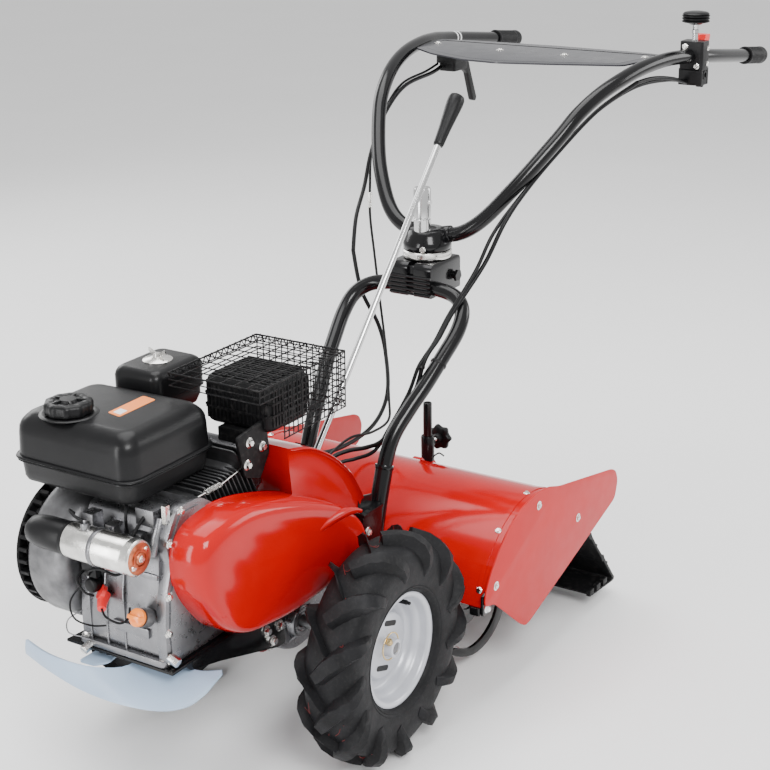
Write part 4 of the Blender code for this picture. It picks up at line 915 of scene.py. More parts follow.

# governor rod and spring under the tank
coil = [(-0.240 + 0.0020 * k / 3, -0.052 + 0.0045 * math.cos(k * 1.05), 0.545 + 0.0045 * math.sin(k * 1.05))
    for k in range(60)]
piece("governor_linkage", merge(tube(coil, 0.0007, 6, 1),
        bar((-0.330, -0.052, 0.545), (-0.240, -0.052, 0.545), 0.0014, 10),
        bar((-0.200, -0.052, 0.545), (-0.120, -0.045, 0.552), 0.0014, 10),
        block((-0.345, -0.056, 0.530), (-0.335, -0.048, 0.560))), "zinc", "machine")

# ---------------------------------------------------------------- belt cover and lever shroud
COVER = [(-0.351, 0.452), (-0.350, 0.482), (-0.338, 0.508), (-0.312, 0.524), (-0.265, 0.531),
    (-0.219, 0.529),
    (-0.165, 0.518), (-0.096, 0.497), (-0.024, 0.468), (0.045, 0.432), (0.090, 0.396), (0.112, 0.362),
    (0.112, 0.335), (0.060, 0.315), (-0.020, 0.296), (-0.110, 0.290), (-0.180, 0.296), (-0.235, 0.306),
    (-0.285, 0.336), (-0.325, 0.384), (-0.345, 0.420)]


def closed_smooth(outline, steps=4):
    n = len(outline)
    pts = [Vector(p) for p in outline]
    out = []
    for i in range(n):
        p0, p1, p2, p3 = pts[i - 1], pts[i], pts[(i + 1) % n], pts[(i + 2) % n]
        for k in range(steps):
            t = k / steps
            out.append(0.5 * ((2 * p1) + (p2 - p0) * t + (2 * p0 - 5 * p1 + 4 * p2 - p3) * t * t
                    + (3 * p1 - p0 - 3 * p2 + p3) * t * t * t))
    return [tuple(p) for p in out]


COVER_FINE = closed_smooth(COVER)


SPINE = Vector((-0.215, 0.418)), Vector((0.020, 0.372))


def cover_ring(f, y):
    """The cover's outline drawn in towards its spine by the fraction f, at depth y."""
    a, b = SPINE
    out = []
    for p in COVER_FINE:
        q = Vector(p)
        t = min(1.0, max(0.0, (q - a).dot(b - a) / (b - a).length_squared))
        q += (a.lerp(b, t) - q) * f
        out.append(Vector((q.x, y, q.y)))
    return out


piece("belt_cover_shell", stack([cover_ring(f, y) for f, y in (
            (0.030, -0.0700), (0.0000, -0.0630), (-0.0120, -0.0640), (-0.0100, -0.0665), (0.0000, -0.0700),
            (-0.0100, -0.0850), (-0.0080, -0.1000), (0.0060, -0.1110), (0.0360, -0.1205), (0.0800, -0.1275),
            (0.1350, -0.1315), (0.2100, -0.1338), (0.3200, -0.1352), (0.4800, -0.1366), (0.7000, -0.1378),
            (0.9200, -0.1383))], cap=(True, True)), "red", "machine",
    "belt_cover", sharp=62)
arch_line = [(0.2155 * math.cos(math.radians(a)), -0.1255 - 0.004 * math.sin(math.radians((a - 58) * 3)),
        AXLE[1] + 0.2155 * math.sin(math.radians(a))) for a in range(64, 119, 6)]
piece("belt_cover_swage", tube(arch_line, lambda t: 0.0105 * (0.35 + 0.65 * math.sin(math.pi * min(1,
            max(0, t)))), 20, 3),
    "red", "machine", sharp=80)
# Black disc with a small lip in the cover's hole: painted shade for the opening.
piece("belt_cover_hole_shade", merge(turned([(0, 0), (0.0062, 0), (0.0066, 0.0012), (0.0074, 0.0014),
            (0.0078, 0.0), (0.0078, -0.003), (0, -0.003)], (-0.318, -0.1278, 0.478), (-0.35, -0.93, 0.1),
            28)), "plastic", "machine")
piece("belt_cover_boss", merge(*[turned([(0, 0), (0.0060, 0), (0.0052, 0.0022), (0.0030, 0.0030),
            (0, 0.0030)],
            (x, -0.1270, z), (dx, -0.9, dz), 24) for x, z, dx, dz in
            ((-0.300, 0.372, -0.3, -0.2), (0.070, 0.346, 0.3, -0.2))]), "red", "machine")

SHROUD = [(-0.066, 0.569), (-0.030, 0.560), (0.000, 0.549), (0.030, 0.533), (0.060, 0.513), (0.085, 0.492),
    (0.110, 0.467),
    (0.132, 0.436), (0.150, 0.404)]
FLOOR_LINE = [(-0.050, 0.462), (-0.030, 0.452), (0.000, 0.434), (0.028, 0.414), (0.052, 0.396),
    (0.074, 0.380),
    (0.096, 0.364), (0.116, 0.350), (0.136, 0.334)]
rings = []
for p, q in zip(smooth([(x, 0, z) for x, z in SHROUD], 4), smooth([(x, 0, z) for x, z in FLOOR_LINE], 4)):
    x, z, xb, zb = p.x, p.z, q.x, q.z
    rings.append([Vector(p) for p in (
                (xb, -0.0860, zb), (xb * 0.4 + x * 0.6, -0.0880, zb * 0.4 + z * 0.6 - 0.004),
                (x, -0.0900, z - 0.0120), (x, -0.0930, z - 0.0055), (x, -0.0975, z - 0.0020),
                (x, -0.0960, z + 0.0005), (x, -0.0900, z + 0.0008), (x, -0.0600, z + 0.0012),
                (x, 0.0050, z), (x, 0.0160, z - 0.0030), (x, 0.0200, z - 0.0090), (xb, 0.0180, zb))])
piece("lever_shroud_body", stack(rings), "red", "machine", "lever_shroud", sharp=58)
piece("lever_slot_seal", stack([[Vector((0.040 + 0.006 * i, -0.040 + 0.012 * k, base - 0.0044 * i))
            for i, k in ((0, -1), (8, -1), (8, 1), (0, 1))] for base in (0.530, 0.5335)]),
    "plastic", "machine", bevel=0.001)

# ---------------------------------------------------------------- front bumper and chassis
def sheet(grid, thick):
    """Closed shell: a grid of points and the same grid pushed back along its normals."""
    rows, cols = len(grid), len(grid[0])
    verts = [Vector(p) for row in grid for p in row]

    def at(i, j):
        return verts[min(max(i, 0), rows - 1) * cols + min(max(j, 0), cols - 1)]

    normals = []
    for i in range(rows):
        for j in range(cols):
            normals.append((at(i + 1, j) - at(i - 1, j)).cross(at(i, j + 1) - at(i, j - 1)).normalized())
    back = [v + n * thick for v, n in zip(verts, normals)]
    m = rows * cols
    faces = []
    for i in range(rows - 1):
        for j in range(cols - 1):
            a = i * cols + j
            faces.append([a, a + 1, a + cols + 1, a + cols])
            faces.append([m + a, m + a + cols, m + a + cols + 1, m + a + 1])
    edge = [(0, j) for j in range(cols)] + [(i, cols - 1) for i in range(1, rows)] \
        + [(rows - 1, j) for j in range(cols - 2, -1, -1)] + [(i, 0) for i in range(rows - 2, 0, -1)]
    for (i0, j0), (i1, j1) in zip(edge, edge[1:] + edge[:1]):
        a, b = i0 * cols + j0, i1 * cols + j1
        faces.append([a, m + a, m + b, b])
    return verts + back, faces


TOP_EDGE = [(-0.394, 0.221, 0.276), (-0.407, 0.157, 0.272), (-0.401, 0.084, 0.268), (-0.377, 0.030, 0.268),
    (-0.337, 0.015, 0.272),
    (-0.320, -0.020, 0.272), (-0.321, -0.064, 0.266), (-0.315, -0.090, 0.264), (-0.297, -0.113, 0.264)]
LOW_EDGE = [(-0.392, 0.226, 0.249), (-0.408, 0.160, 0.243), (-0.416, 0.080, 0.232), (-0.414, 0.001, 0.227),
    (-0.402, -0.064, 0.229), (-0.380, -0.104, 0.237), (-0.352, -0.119, 0.249), (-0.330, -0.122, 0.259),
    (-0.304, -0.118, 0.262)]
tops, lows = smooth(TOP_EDGE, 4), smooth(LOW_EDGE, 4)
grid = []
for k in range(9):
    t = k / 8
    row = []
    for p, q in zip(tops, lows):
        span = (p - q).length
        swell = Vector((-0.8, -0.35, -0.2)) * math.sin(math.pi * t) * min(0.010, span * 0.10)
        row.append(p * (1 - t) + q * t + swell)
    grid.append(row)
piece("bumper_shield", sheet(grid, 0.0050), "pale", "machine", "front_bumper", bevel=0.0012, sharp=50,
    limit=60)
piece("bumper_arms", merge(
        plate(fillet([(-0.392, 0.076), (-0.394, 0.108), (-0.330, 0.106), (-0.320, 0.070), (-0.372, 0.062)],
            0.006), 0.2645, 0.2690, "z"),
        plate([(-0.335, 0.062), (-0.300, 0.062), (-0.300, 0.104), (-0.335, 0.104)], 0.2650, 0.2820, "z")),
    "pale", "machine",
    bevel=0.0015)
piece("bumper_bolts", merge(*[bolt((x, y, 0.268), (0, 0, 1), 0.006, 0.005) for x,
            y in ((-0.350, 0.078), (-0.350, 0.094))]),
    "zinc", "machine")
CHEEK = [(-0.345, 0.287), (-0.330, 0.272), (-0.255, 0.254), (-0.095, 0.206), (-0.0735, 0.206),
    (-0.0735, 0.287)]
piece("chassis_pressing", merge(
        plate([(-0.375, -0.076), (-0.075, -0.076), (-0.075, 0.120), (-0.375, 0.150)], 0.2830, 0.2880, "z"),
        plate(fillet(CHEEK, 0.006), -0.0765, -0.0715), plate(fillet(CHEEK, 0.006), 0.0600, 0.0650),
        plate(fillet([(-0.345, 0.284), (-0.345, 0.262), (-0.300, 0.250), (-0.300, 0.284)], 0.005), -0.020,
            -0.015)),
    "black", "machine", "chassis_plate", bevel=0.0012)
piece("chassis_bolts", merge(*[bolt((x, -0.0765, z), (0, -1, 0), 0.0072, 0.0085) for x, z in
            ((-0.112, 0.226), (-0.090, 0.246), (-0.128, 0.252))],
        *[bolt((x, 0.065, z), (0, 1, 0), 0.0065, 0.006) for x, z in ((-0.112, 0.226), (-0.090, 0.246))]),
    "zinc", "machine")

# ---------------------------------------------------------------- gearbox
CASE_OUT = [(-0.085, 0.395), (-0.085, 0.430), (-0.062, 0.462), (-0.020, 0.465), (0.020, 0.445),
    (0.070, 0.405),
    (0.150, 0.335), (0.235, 0.283), (0.400, 0.232), (0.440, 0.215), (0.456, 0.175), (0.440, 0.135),
    (0.400, 0.119), (0.350, 0.126), (0.200, 0.160), (0.050, 0.152), (0.000, 0.146), (-0.045, 0.165),
    (-0.064, 0.210), (-0.070, 0.300)]
CASE_FINE = fillet(CASE_OUT, 0.018, 4)
for side, s in (("left", -1), ("right", 1)):
    parts = [stack([[Vector((a, s * y, b)) for a, b in inset(CASE_FINE, d)] for y, d in
                ((0.0004, -0.004), (0.0075, -0.004), (0.0090, 0.0), (0.0400, 0.0025), (0.0450, 0.0050),
                (0.0480, 0.010))])]
    for (cx, cz), r in ((AXLE, 0.030), (ROTOR, 0.032), (INPUT, 0.026)):
        parts.append(turned([(0.0112, s * 0.040), (r + 0.004, s * 0.040), (r, s * 0.052),
                    (r - 0.001, s * 0.0610), (r - 0.003, s * 0.0620), (0.0180, s * 0.0620),
                    (0.0175, s * 0.0600), (0.0112, s * 0.0600)],
                (cx, 0, cz), "y", 48))
        for k in range(5):
            t = 2 * math.pi * k / 5 + 0.3
            u = Vector((math.cos(t), 0, math.sin(t)))
            w = Vector((-math.sin(t), 0, math.cos(t))) * 0.0022
            c = Vector((cx, 0, cz))
            parts.append(stack([[c + u * (r - 0.004) + w + Vector((0, s * 0.046, 0)),
                        c + u * (r - 0.004) - w + Vector((0, s * 0.046, 0)),
                        c + u * (r - 0.004) - w + Vector((0, s * 0.060, 0)),
                        c + u * (r - 0.004) + w + Vector((0, s * 0.060, 0))],
                        [c + u * (r + 0.014) + w + Vector((0, s * 0.046, 0)),
                        c + u * (r + 0.014) - w + Vector((0, s * 0.046, 0)),
                        c + u * (r + 0.014) - w + Vector((0, s * 0.049, 0)),
                        c + u * (r + 0.014) + w + Vector((0, s * 0.049, 0))]]))
    parts.append(plate(fillet([(0.085, 0.205), (0.330, 0.150), (0.330, 0.200), (0.120, 0.290)], 0.02),
            *sorted((s * 0.0450, s * 0.0505))))
    piece("gearbox_" + side + "_casting", merge(*parts), "cast", "machine", "gearbox_" + side, bevel=0.0010,
        segments=1)
    piece("gearbox_" + side + "_bolts", merge(*[bolt((x, s * 0.0075, z), (0, s, 0), 0.0050, 0.0050) for x,
                z in (
                (-0.066, 0.250), (-0.074, 0.360), (-0.048, 0.458), (0.052, 0.424), (0.190, 0.315),
                (0.330, 0.258), (0.448, 0.190), (0.370, 0.118), (0.240, 0.148), (0.110, 0.152),
                (-0.030, 0.156))]), "zinc", "machine")
piece("gearbox_plug", merge(bar((-0.062, -0.030, 0.196), (-0.088, -0.034, 0.190), 0.0105, 28, 0.002),
        bar((-0.086, -0.034, 0.1905), (-0.093, -0.035, 0.189), 0.0080, 6, 0.001)), "dark_red", "machine")
piece("gearbox_lugs", merge(*[bar((x, -0.060, z), (x, 0.045, z), 0.013, 24, 0.002) for x,
            z in ((-0.070, 0.225), (-0.068, 0.262))],
        bar((-0.060, -0.058, 0.300), (-0.060, -0.040, 0.300), 0.018, 24, 0.003)), "cast", "machine")

# ---------------------------------------------------------------- rotor with its tines
TINE = [(0.040, 26), (0.075, 14), (0.105, 1), (0.132, -20), (0.150, -42), (0.162, -63), (0.171, -84),
    (0.1735, -92), (0.161, -91), (0.147, -70), (0.131, -50), (0.110, -29), (0.084, -12), (0.060, -7),
    (0.040, -14)]


def tine_star(y, start, s):
    parts = []
    c = Vector((ROTOR[0], 0, ROTOR[1]))
    for k in range(4):
        turn = math.radians(start - 90 * k)
        corners = [(r * math.cos(turn + math.radians(a)), r * math.sin(turn + math.radians(a))) for r,
            a in TINE]
        ring = [c + Vector((a, 0, b)) for a, b in closed_smooth(corners, 3)]
        lean = 0.010 if (k % 2) else -0.004

        def bent(p, off):
            far = max(0.0, ((p - c).length - 0.11) / 0.062)
            return p + Vector((0, y + off + s * lean * far * far, 0))
        parts.append(stack([[bent(p, -0.0032) for p in ring], [bent(p, 0.0032) for p in ring]]))
    parts.append(turned([(0.0130, y - 0.014), (0.0235, y - 0.014), (0.0245, y - 0.012), (0.0245, y + 0.012),
                (0.0235, y + 0.014), (0.0130, y + 0.014)], c, "y", 40))
    parts.append(turned([(0.020, y - 0.0040), (0.052, y - 0.0040), (0.053, y - 0.003), (0.053, y + 0.003),
                (0.052, y + 0.0040), (0.020, y + 0.0040)], c, "y", 48))
    return merge(*parts)


for node, y, start, s in (("tines_left_outer", -0.212, -47, -1), ("tines_left_inner", -0.100, -2, -1),
    ("tines_right_inner", 0.100, -32, 1), ("tines_right_outer", 0.212, -77, 1)):
    piece(node + "_forged", tine_star(y, start, s), "black", "rotor", node, bevel=0.0009, segments=2)
    c = Vector((ROTOR[0], y, ROTOR[1]))
    piece(node + "_bolts", merge(*[bolt(c + Vector((0.040 * math.cos(t), s * 0.0045, 0.040 * math.sin(t))),
                (0, s, 0), 0.005, 0.005)
                for t in [math.radians(start - 90 * k + q) for k in range(4) for q in (2, 24)]]), "zinc",
        "rotor")
piece("rotor_shaft_turned", turned([(0, -0.236), (0.0105, -0.236), (0.0122, -0.234), (0.0122, -0.010),
            (0.034, -0.010), (0.034, 0.006), (0.0122, 0.006), (0.0122, 0.234), (0.0105, 0.236), (0, 0.236)],
        (ROTOR[0], 0, ROTOR[1]), "y", 40), "cast_dark", "rotor", "rotor_shaft")

# ---------------------------------------------------------------- hood, end plates and rear flap
HOOD_C, HOOD_R, HOOD_Y = (0.400, 0.172), 0.190, 0.313


def arc_points(r, a0, a1, n):
    return [(HOOD_C[0] + r * math.cos(math.radians(a0 + (a1 - a0) * k / n)),
            HOOD_C[1] + r * math.sin(math.radians(a0 + (a1 - a0) * k / n))) for k in range(n + 1)]


def hood_strip(y0, y1, a0, hem):
    outer, inner = arc_points(HOOD_R, a0, 28, 72), arc_points(HOOD_R - 0.0026, 28, a0, 72)
    outline = ([(0.2130, 0.207)] if hem else []) + outer + inner + ([(0.2156, 0.207)] if hem else [])
    return plate(outline, y0, y1)


piece("hood_sheet", merge(hood_strip(-HOOD_Y, -0.056, 167, True), hood_strip(0.056, HOOD_Y, 167, True),
        hood_strip(-0.0562, 0.0562, 129.5, False)), "red", "machine", "hood", sharp=30)
piece("hood_ribs", merge(*[plate(arc_points(HOOD_R + 0.0014, 166, 40, 60) + arc_points(HOOD_R - 0.001, 40,
            166, 60), y - 0.0045,
            y + 0.0045) for y in (-0.297, 0.297)],
        tube([(HOOD_C[0] + HOOD_R * math.cos(math.radians(28)), y,
            HOOD_C[1] + HOOD_R * math.sin(math.radians(28)))
            for y in (-0.311, 0, 0.311)], 0.0034, 14, 4)), "red", "machine", sharp=30)
PLATE = [(0.244, 0.205), (0.208, 0.213), (0.211, 0.240), (0.228, 0.268), (0.258, 0.301), (0.302, 0.337),
    (0.350, 0.358),
    (0.405, 0.3655), (0.455, 0.360), (0.500, 0.345), (0.735, 0.297), (0.752, 0.288), (0.764, 0.264),
    (0.752, 0.227), (0.629, 0.187), (0.384, 0.108), (0.366, 0.106), (0.344, 0.120)]
PLATE_FINE = fillet(PLATE, 0.012, 4)
for side, s in (("left", -1), ("right", 1)):
    lo, hi = sorted((s * 0.3136, s * 0.3166))
    piece("end_plate_" + side, plate(PLATE_FINE, lo, hi), "red_flat", "machine", "hood_end_" + side,
        bevel=0.0007,
        segments=2, limit=50)
    piece("end_plate_" + side + "_bolts", merge(
            *[merge(turned([(0, 0), (0.0085, 0), (0.0088, 0.0010), (0.0060, 0.0016), (0, 0.0016)],
                (x, s * 0.3160, z), (0, s, 0), 24),
                turned([(0, 0.001), (0.0056, 0.001), (0.0052, 0.0035), (0.0035, 0.0048), (0, 0.0050)],
                (x, s * 0.3160, z), (0, s, 0), 24)) for x,
                z in ((0.413, 0.337), (0.581, 0.248), (0.249, 0.239))],
            *[bolt((HOOD_C[0] + (HOOD_R + 0.001) * math.cos(math.radians(a)), s * y,
                HOOD_C[1] + (HOOD_R + 0.001) * math.sin(math.radians(a))),
                (math.cos(math.radians(a)), 0, math.sin(math.radians(a))), 0.0042, 0.0035) for a, y in
                ((90, 0.297), (160, 0.297), (125, 0.297))]), "zinc", "machine")
    piece("skid_bracket_" + side, merge(
            block((0.206, min(s * 0.284, s * 0.306), 0.192), (0.232, max(s * 0.284, s * 0.306), 0.207),
                0.004),
            plate(fillet([(0.208, 0.192), (0.208, 0.232), (0.230, 0.240), (0.244, 0.196)], 0.004),
                *sorted((s * 0.3075, s * 0.3125)))),
        "black", "machine", bevel=0.0012)
    piece("skid_bolt_" + side, bolt((0.222, s * 0.3125, 0.203), (0, s, 0), 0.0052, 0.0060), "white",
        "machine")

FLAP = [(0.579, 0.2520), (0.587, 0.2520), (0.606, 0.2330), (0.656, 0.1810), (0.662, 0.1815),
    (0.6655, 0.1735), (0.691, 0.1400),
    (0.719, 0.1070), (0.7245, 0.1075), (0.728, 0.0995), (0.752, 0.0690), (0.7800, 0.0345), (0.7785, 0.0290),
    (0.7700, 0.0278), (0.672, 0.0350), (0.672, 0.0388), (0.7660, 0.0325), (0.7700, 0.0355),
    (0.7240, 0.0930), (0.7180, 0.0940), (0.7140, 0.1030), (0.6610, 0.1670), (0.6550, 0.1690),
    (0.6500, 0.1770), (0.5775, 0.2460)]
flap_parts = [plate(FLAP, -0.3090, 0.3090)]
for q in ((0.6255, 0.2125), (0.6900, 0.1415), (0.7420, 0.0815)):
    flap_parts.append(bar((q[0], -0.3085, q[1]), (q[0], 0.3085, q[1]), 0.0036, 16))
for s in (-1, 1):
    for k in range(3):
        x, z = 0.664 + 0.031 * k, 0.040
        flap_parts.append(block((x, min(s * 0.300, s * 0.309), z - 0.004),
                (x + 0.018, max(s * 0.300, s * 0.309), z + 0.009)))
piece("rear_flap_rubber", merge(*flap_parts), "black_matt", "flap", "rear_flap", bevel=0.0010)
piece("flap_hinge_rod", merge(bar((0.581, -0.3125, 0.2490), (0.581, 0.3125, 0.2490), 0.0036, 16)), "steel",
    "flap")

# ---------------------------------------------------------------- depth gauge
piece("depth_rod_bar", merge(
        turned([(0, 0.012), (0.0089, 0.012), (0.0090, 0.020), (0.0090, 0.4455), (0.0080, 0.4470),
            (0.0055, 0.4470), (0.0050, 0.4440), (0, 0.4440)], (ROD_X, 0, 0), "z", 40),
        sheet([[Vector((x, y, z)) for x, z in ((0.512, 0.018), (0.514, 0.0075), (0.520, 0.0022),
            (0.530, 0.0004), (0.552, 0.0), (0.580, 0.0002), (0.594, 0.0040), (0.608, 0.0120),
            (0.620, 0.0230), (0.628, 0.0330))]
            for y in (0.022, 0.008, -0.008, -0.022)], 0.0055),
        block((0.514, -0.008, 0.004), (0.550, 0.008, 0.030), 0.002)), "black", "depth_gauge", "depth_rod",
    bevel=0.0006)
piece("depth_sleeve_tube", merge(
        turned([(0.0094, 0.3135), (0.0122, 0.3135), (0.0122, 0.3220), (0.0134, 0.3230), (0.0136, 0.3740),
            (0.0128, 0.3755), (0.0100, 0.3755), (0.0094, 0.3745)], (ROD_X, 0, 0), "z", 48),
        bar((ROD_X + 0.010, 0, 0.357), (ROD_X + 0.0185, 0, 0.357), 0.0085, 6)), "black", "machine",
    "depth_sleeve")
piece("depth_sleeve_gusset", merge(
        stack([[Vector((x, y, z)) for x, z in ((0.512, 0.326), (0.512, 0.310), (0.480, 0.340),
            (0.496, 0.342))] for y in (-0.010, 0.010)]),
        stack([[Vector((x, y, z)) for x, z in ((0.543, 0.322), (0.545, 0.296), (0.566, 0.268),
            (0.572, 0.280))] for y in (-0.010, 0.010)]),
        turned([(0.0124, 0.2980), (0.0180, 0.2980), (0.0165, 0.3180), (0.0124, 0.3240)], (ROD_X, 0, 0), "z",
            40)), "red", "machine",
    bevel=0.0015)
piece("depth_star_knob", merge(
        turned([(0, 0.0400), (0.0225, 0.0400), (0.0262, 0.0420), (0.0275, 0.0460), (0.0270, 0.0510),
            (0.0230, 0.0538), (0.0135, 0.0545), (0.0120, 0.0525), (0, 0.0525)], (ROD_X, 0, 0.357), "x", 96,
            lambda t: 1.0 - 0.17 * (0.5 + 0.5 * math.cos(7 * t)) ** 0.8),
        turned([(0, 0.0310), (0.0080, 0.0310), (0.0095, 0.0330), (0.0110, 0.0410), (0, 0.0410)],
            (ROD_X, 0, 0.357), "x", 36)),
    "plastic", "depth_lock", "depth_knob", sharp=45)
piece("depth_knob_stud", turned([(0, 0.0098), (0.0034, 0.0098), (0.0038, 0.0106)]
        + [q for k in range(13) for q in ((0.0038, 0.0110 + 0.0016 * k), (0.0033, 0.0118 + 0.0016 * k))]
        + [(0.0038, 0.0320), (0, 0.0320)], (ROD_X, 0, 0.357), "x", 24), "zinc", "depth_lock")
piece("hood_clip", merge(tube([(0.566, 0.010, 0.272), (0.584, 0.018, 0.284), (0.604, 0.028, 0.276),
            (0.614, 0.034, 0.262)], 0.0016, 8),
        tube([(0.500, -0.030, 0.345), (0.512, -0.038, 0.352), (0.516, -0.048, 0.346)], 0.0016, 8)),
    "plastic",
    "machine")

# ---------------------------------------------------------------- arch of tube and its bracket
ARCH_SIDE = [(0.190, 0.090, 0.300), (0.212, 0.088, 0.365), (0.235, 0.087, 0.430), (0.262, 0.090, 0.482),
    (0.300, 0.100, 0.523), (0.342, 0.113, 0.564), (0.385, 0.122, 0.604), (0.430, 0.129, 0.645),
    (0.460, 0.122, 0.676), (0.480, 0.095, 0.695), (0.487, 0.050, 0.702)]
ARCH = [(x, -y, z) for x, y, z in ARCH_SIDE] + [(0.488, 0.0, 0.7025)] + list(reversed(ARCH_SIDE))
piece("arch_tube_bent", tube(ARCH, TUBE_R, 28, 6), "black", "machine", "arch_tube", sharp=60)
for side, s in (("left", -1), ("right", 1)):
    low = [(x, s * y, z) for x, y, z in ARCH_SIDE[:3]]
    piece("arch_sleeve_" + side, tube(low, 0.0166, 28, 6), "black", "machine", sharp=60)
    tip, before = Vector(low[2]), Vector(low[1])
    run = (tip - before).normalized()
    piece("arch_ring_" + side, turned([(0.0145, -0.004), (0.0172, -0.004), (0.0178, -0.002),
                (0.0178, 0.002), (0.0172, 0.004), (0.0145, 0.004)], tip, run, 32), "black", "machine")
    piece("arch_gusset_" + side, plate(fillet([(0.140, 0.405), (0.196, 0.392), (0.186, 0.330),
                (0.146, 0.335)], 0.008),
            *sorted((s * 0.0850, s * 0.0895))), "black", "machine", bevel=0.0012)
piece("arch_bracket_folded", merge(
        plate([(0.128, -0.112), (0.192, -0.112), (0.192, 0.112), (0.128, 0.112)], 0.3715, 0.3785, "z"),
        plate(fillet([(0.128, 0.305), (0.128, 0.374), (0.192, 0.374), (0.186, 0.302)], 0.006), -0.1095,
            -0.0705),
        plate(fillet([(0.128, 0.305), (0.128, 0.374), (0.192, 0.374), (0.186, 0.302)], 0.006), 0.0705,
            0.1095)),
    "black", "machine", "arch_bracket", bevel=0.0015)
piece("arch_bracket_bolts", merge(*[bolt((0.142, s * 0.1095, 0.340), (0, s, 0), 0.0062, 0.0065)
            for s in (-1, 1)],
        *[bolt((0.150, y, 0.3785), (0, 0, 1), 0.0062, 0.006) for y in (-0.055, 0.055)]), "zinc",
    "machine")

# ---------------------------------------------------------------- belt drive behind the cover
piece("belt_backplate_sheet", plate(inset(COVER_FINE, 0.0045), -0.0680, -0.0655), "black", "machine",
    "belt_backplate",
    bevel=0.0006)


def pulley(r, y0, y1, hub):
    m = (y0 + y1) / 2
    return [(hub, y0), (r, y0), (r + 0.0015, y0 + 0.0012), (r - 0.0035, m - 0.004), (r - 0.0035, m + 0.004),
        (r + 0.0015, y1 - 0.0012), (r, y1), (hub, y1)]


piece("crank_pulley", merge(turned([(0, -0.1130), (0.0100, -0.1130), (0.0110, -0.1120), (0.0110, -0.0900),
            (0.0110, -0.0560), (0.0110, -0.0300), (0, -0.0300)], (CRANK[0], 0, CRANK[1]), "y", 40),
        turned(pulley(0.0385, -0.1080, -0.0920, 0.0105), (CRANK[0], 0, CRANK[1]), "y", 64)), "cast_dark",
    "crank", "crankshaft")
piece("input_pulley", merge(turned([(0, -0.1130), (0.0100, -0.1130), (0.0110, -0.1120), (0.0110, -0.0260),
            (0, -0.0260)],
            (INPUT[0], 0, INPUT[1]), "y", 40),
        turned(pulley(0.0480, -0.1080, -0.0920, 0.0105), (INPUT[0], 0, INPUT[1]), "y", 64)), "cast_dark",
    "input", "input_shaft")


def belt_loop(r0, r1):
    a, b = Vector((CRANK[0], CRANK[1])), Vector((INPUT[0], INPUT[1]))
    line = (b - a)
    gap = line.length
    u = line / gap
    n = Vector((-u.y, u.x))
    lean = math.acos((r0 - r1) / gap)
    out = []
    for c, r, start, end in ((a, r0, lean, 2 * math.pi - lean), (b, r1, -lean, lean)):
        for k in range(33):
            t = start + (end - start) * k / 32
            q = c + (u * math.cos(t) + n * math.sin(t)) * r
            out.append((q.x, q.y))
    return out


def band(r0, r1, wide, narrow, thick):
    outer, inner = belt_loop(r0, r1), belt_loop(r0 - thick, r1 - thick)
    rings_ = [[Vector((x, y, z)) for x, z in loop] for loop, y in (
            (outer, -0.100 - wide), (outer, -0.100 + wide), (inner, -0.100 + narrow),
            (inner, -0.100 - narrow))]
    n = len(outer)
    verts = [p for ring in rings_ for p in ring]
    faces = [[i * n + j, i * n + (j + 1) % n, ((i + 1) % 4) * n + (j + 1) % n, ((i + 1) % 4) * n + j]
        for i in range(4) for j in range(n)]
    return verts, faces


piece("drive_belt_ribbed", band(0.0393, 0.0493, 0.0060, 0.0038, 0.0055), "belt", "machine", "drive_belt",
    sharp=40)

# ---------------------------------------------------------------- gear lever
LOW, TOP = Vector((0.056, -0.040, 0.468)), Vector((0.512, -0.040, 0.978))
RUN = (TOP - LOW).normalized()


LEVER = (TOP - LOW).length
piece("gear_lever_rod", merge(turned([(0, -LEVER), (0.0058, -LEVER), (0.0062, -LEVER + 0.001),
            (0.0062, 0.0), (0, 0.0)], TOP, RUN, 32),
        bar(LOW + Vector((0, -0.014, 0.004)), LOW + Vector((0, 0.014, 0.004)), 0.0075, 24, 0.001)),
    "steel", "shift_lever", "gear_lever")
piece("gear_lever_handle", turned([(0, -0.004), (0.0085, -0.004), (0.0098, -0.0025), (0.0104, 0.001),
            (0.0108, 0.012), (0.0120, 0.034), (0.0140, 0.058), (0.0158, 0.078), (0.0166, 0.090),
            (0.0162, 0.099), (0.0140, 0.1045), (0.0095, 0.1070), (0, 0.1072)], TOP, RUN, 40,
        lambda t: 1.0 - 0.030 * (0.5 + 0.5 * math.cos(8 * t))),
    "plastic", "shift_lever", "gear_lever_grip", sharp=48)

# ---------------------------------------------------------------- steering column
cx = COLUMN_X
teeth = []
for k in range(5):
    z = 0.690 + 0.0085 * k
    teeth.append(bar((0.4695, -0.0462, z), (0.4695, 0.0458, z), 0.0026, 10))
piece("column_block", merge(
        plate(fillet([(0.4705, 0.6845), (0.5835, 0.6845), (0.5835, 0.7435), (0.5770, 0.7500),
            (0.4780, 0.7500), (0.4705, 0.7420)], 0.004), -0.0460, -0.0070),
        plate(fillet([(0.4705, 0.6845), (0.5835, 0.6845), (0.5835, 0.7435), (0.5770, 0.7500),
            (0.4780, 0.7500), (0.4705, 0.7420)], 0.004), 0.0070, 0.0460),
        plate(fillet([(0.4760, 0.6900), (0.5780, 0.6900), (0.5780, 0.7440), (0.4760, 0.7440)], 0.003),
            -0.0072, 0.0072)),
    "black", "column", "column_clamp", bevel=0.0014)
piece("column_teeth", merge(*teeth), "black", "column")
piece("column_hinge", merge(bar((0.487, -0.0500, 0.7025), (0.487, 0.0500, 0.7025), 0.0110, 32, 0.0015),
        bar((0.560, -0.0510, 0.7120), (0.560, 0.0510, 0.7120), 0.0078, 24, 0.001),
        bar((0.560, -0.0560, 0.7120), (0.560, -0.0505, 0.7120), 0.0125, 6, 0.001),
        bar((0.560, 0.0505, 0.7120), (0.560, 0.0560, 0.7120), 0.0125, 6, 0.001)), "black", "column")
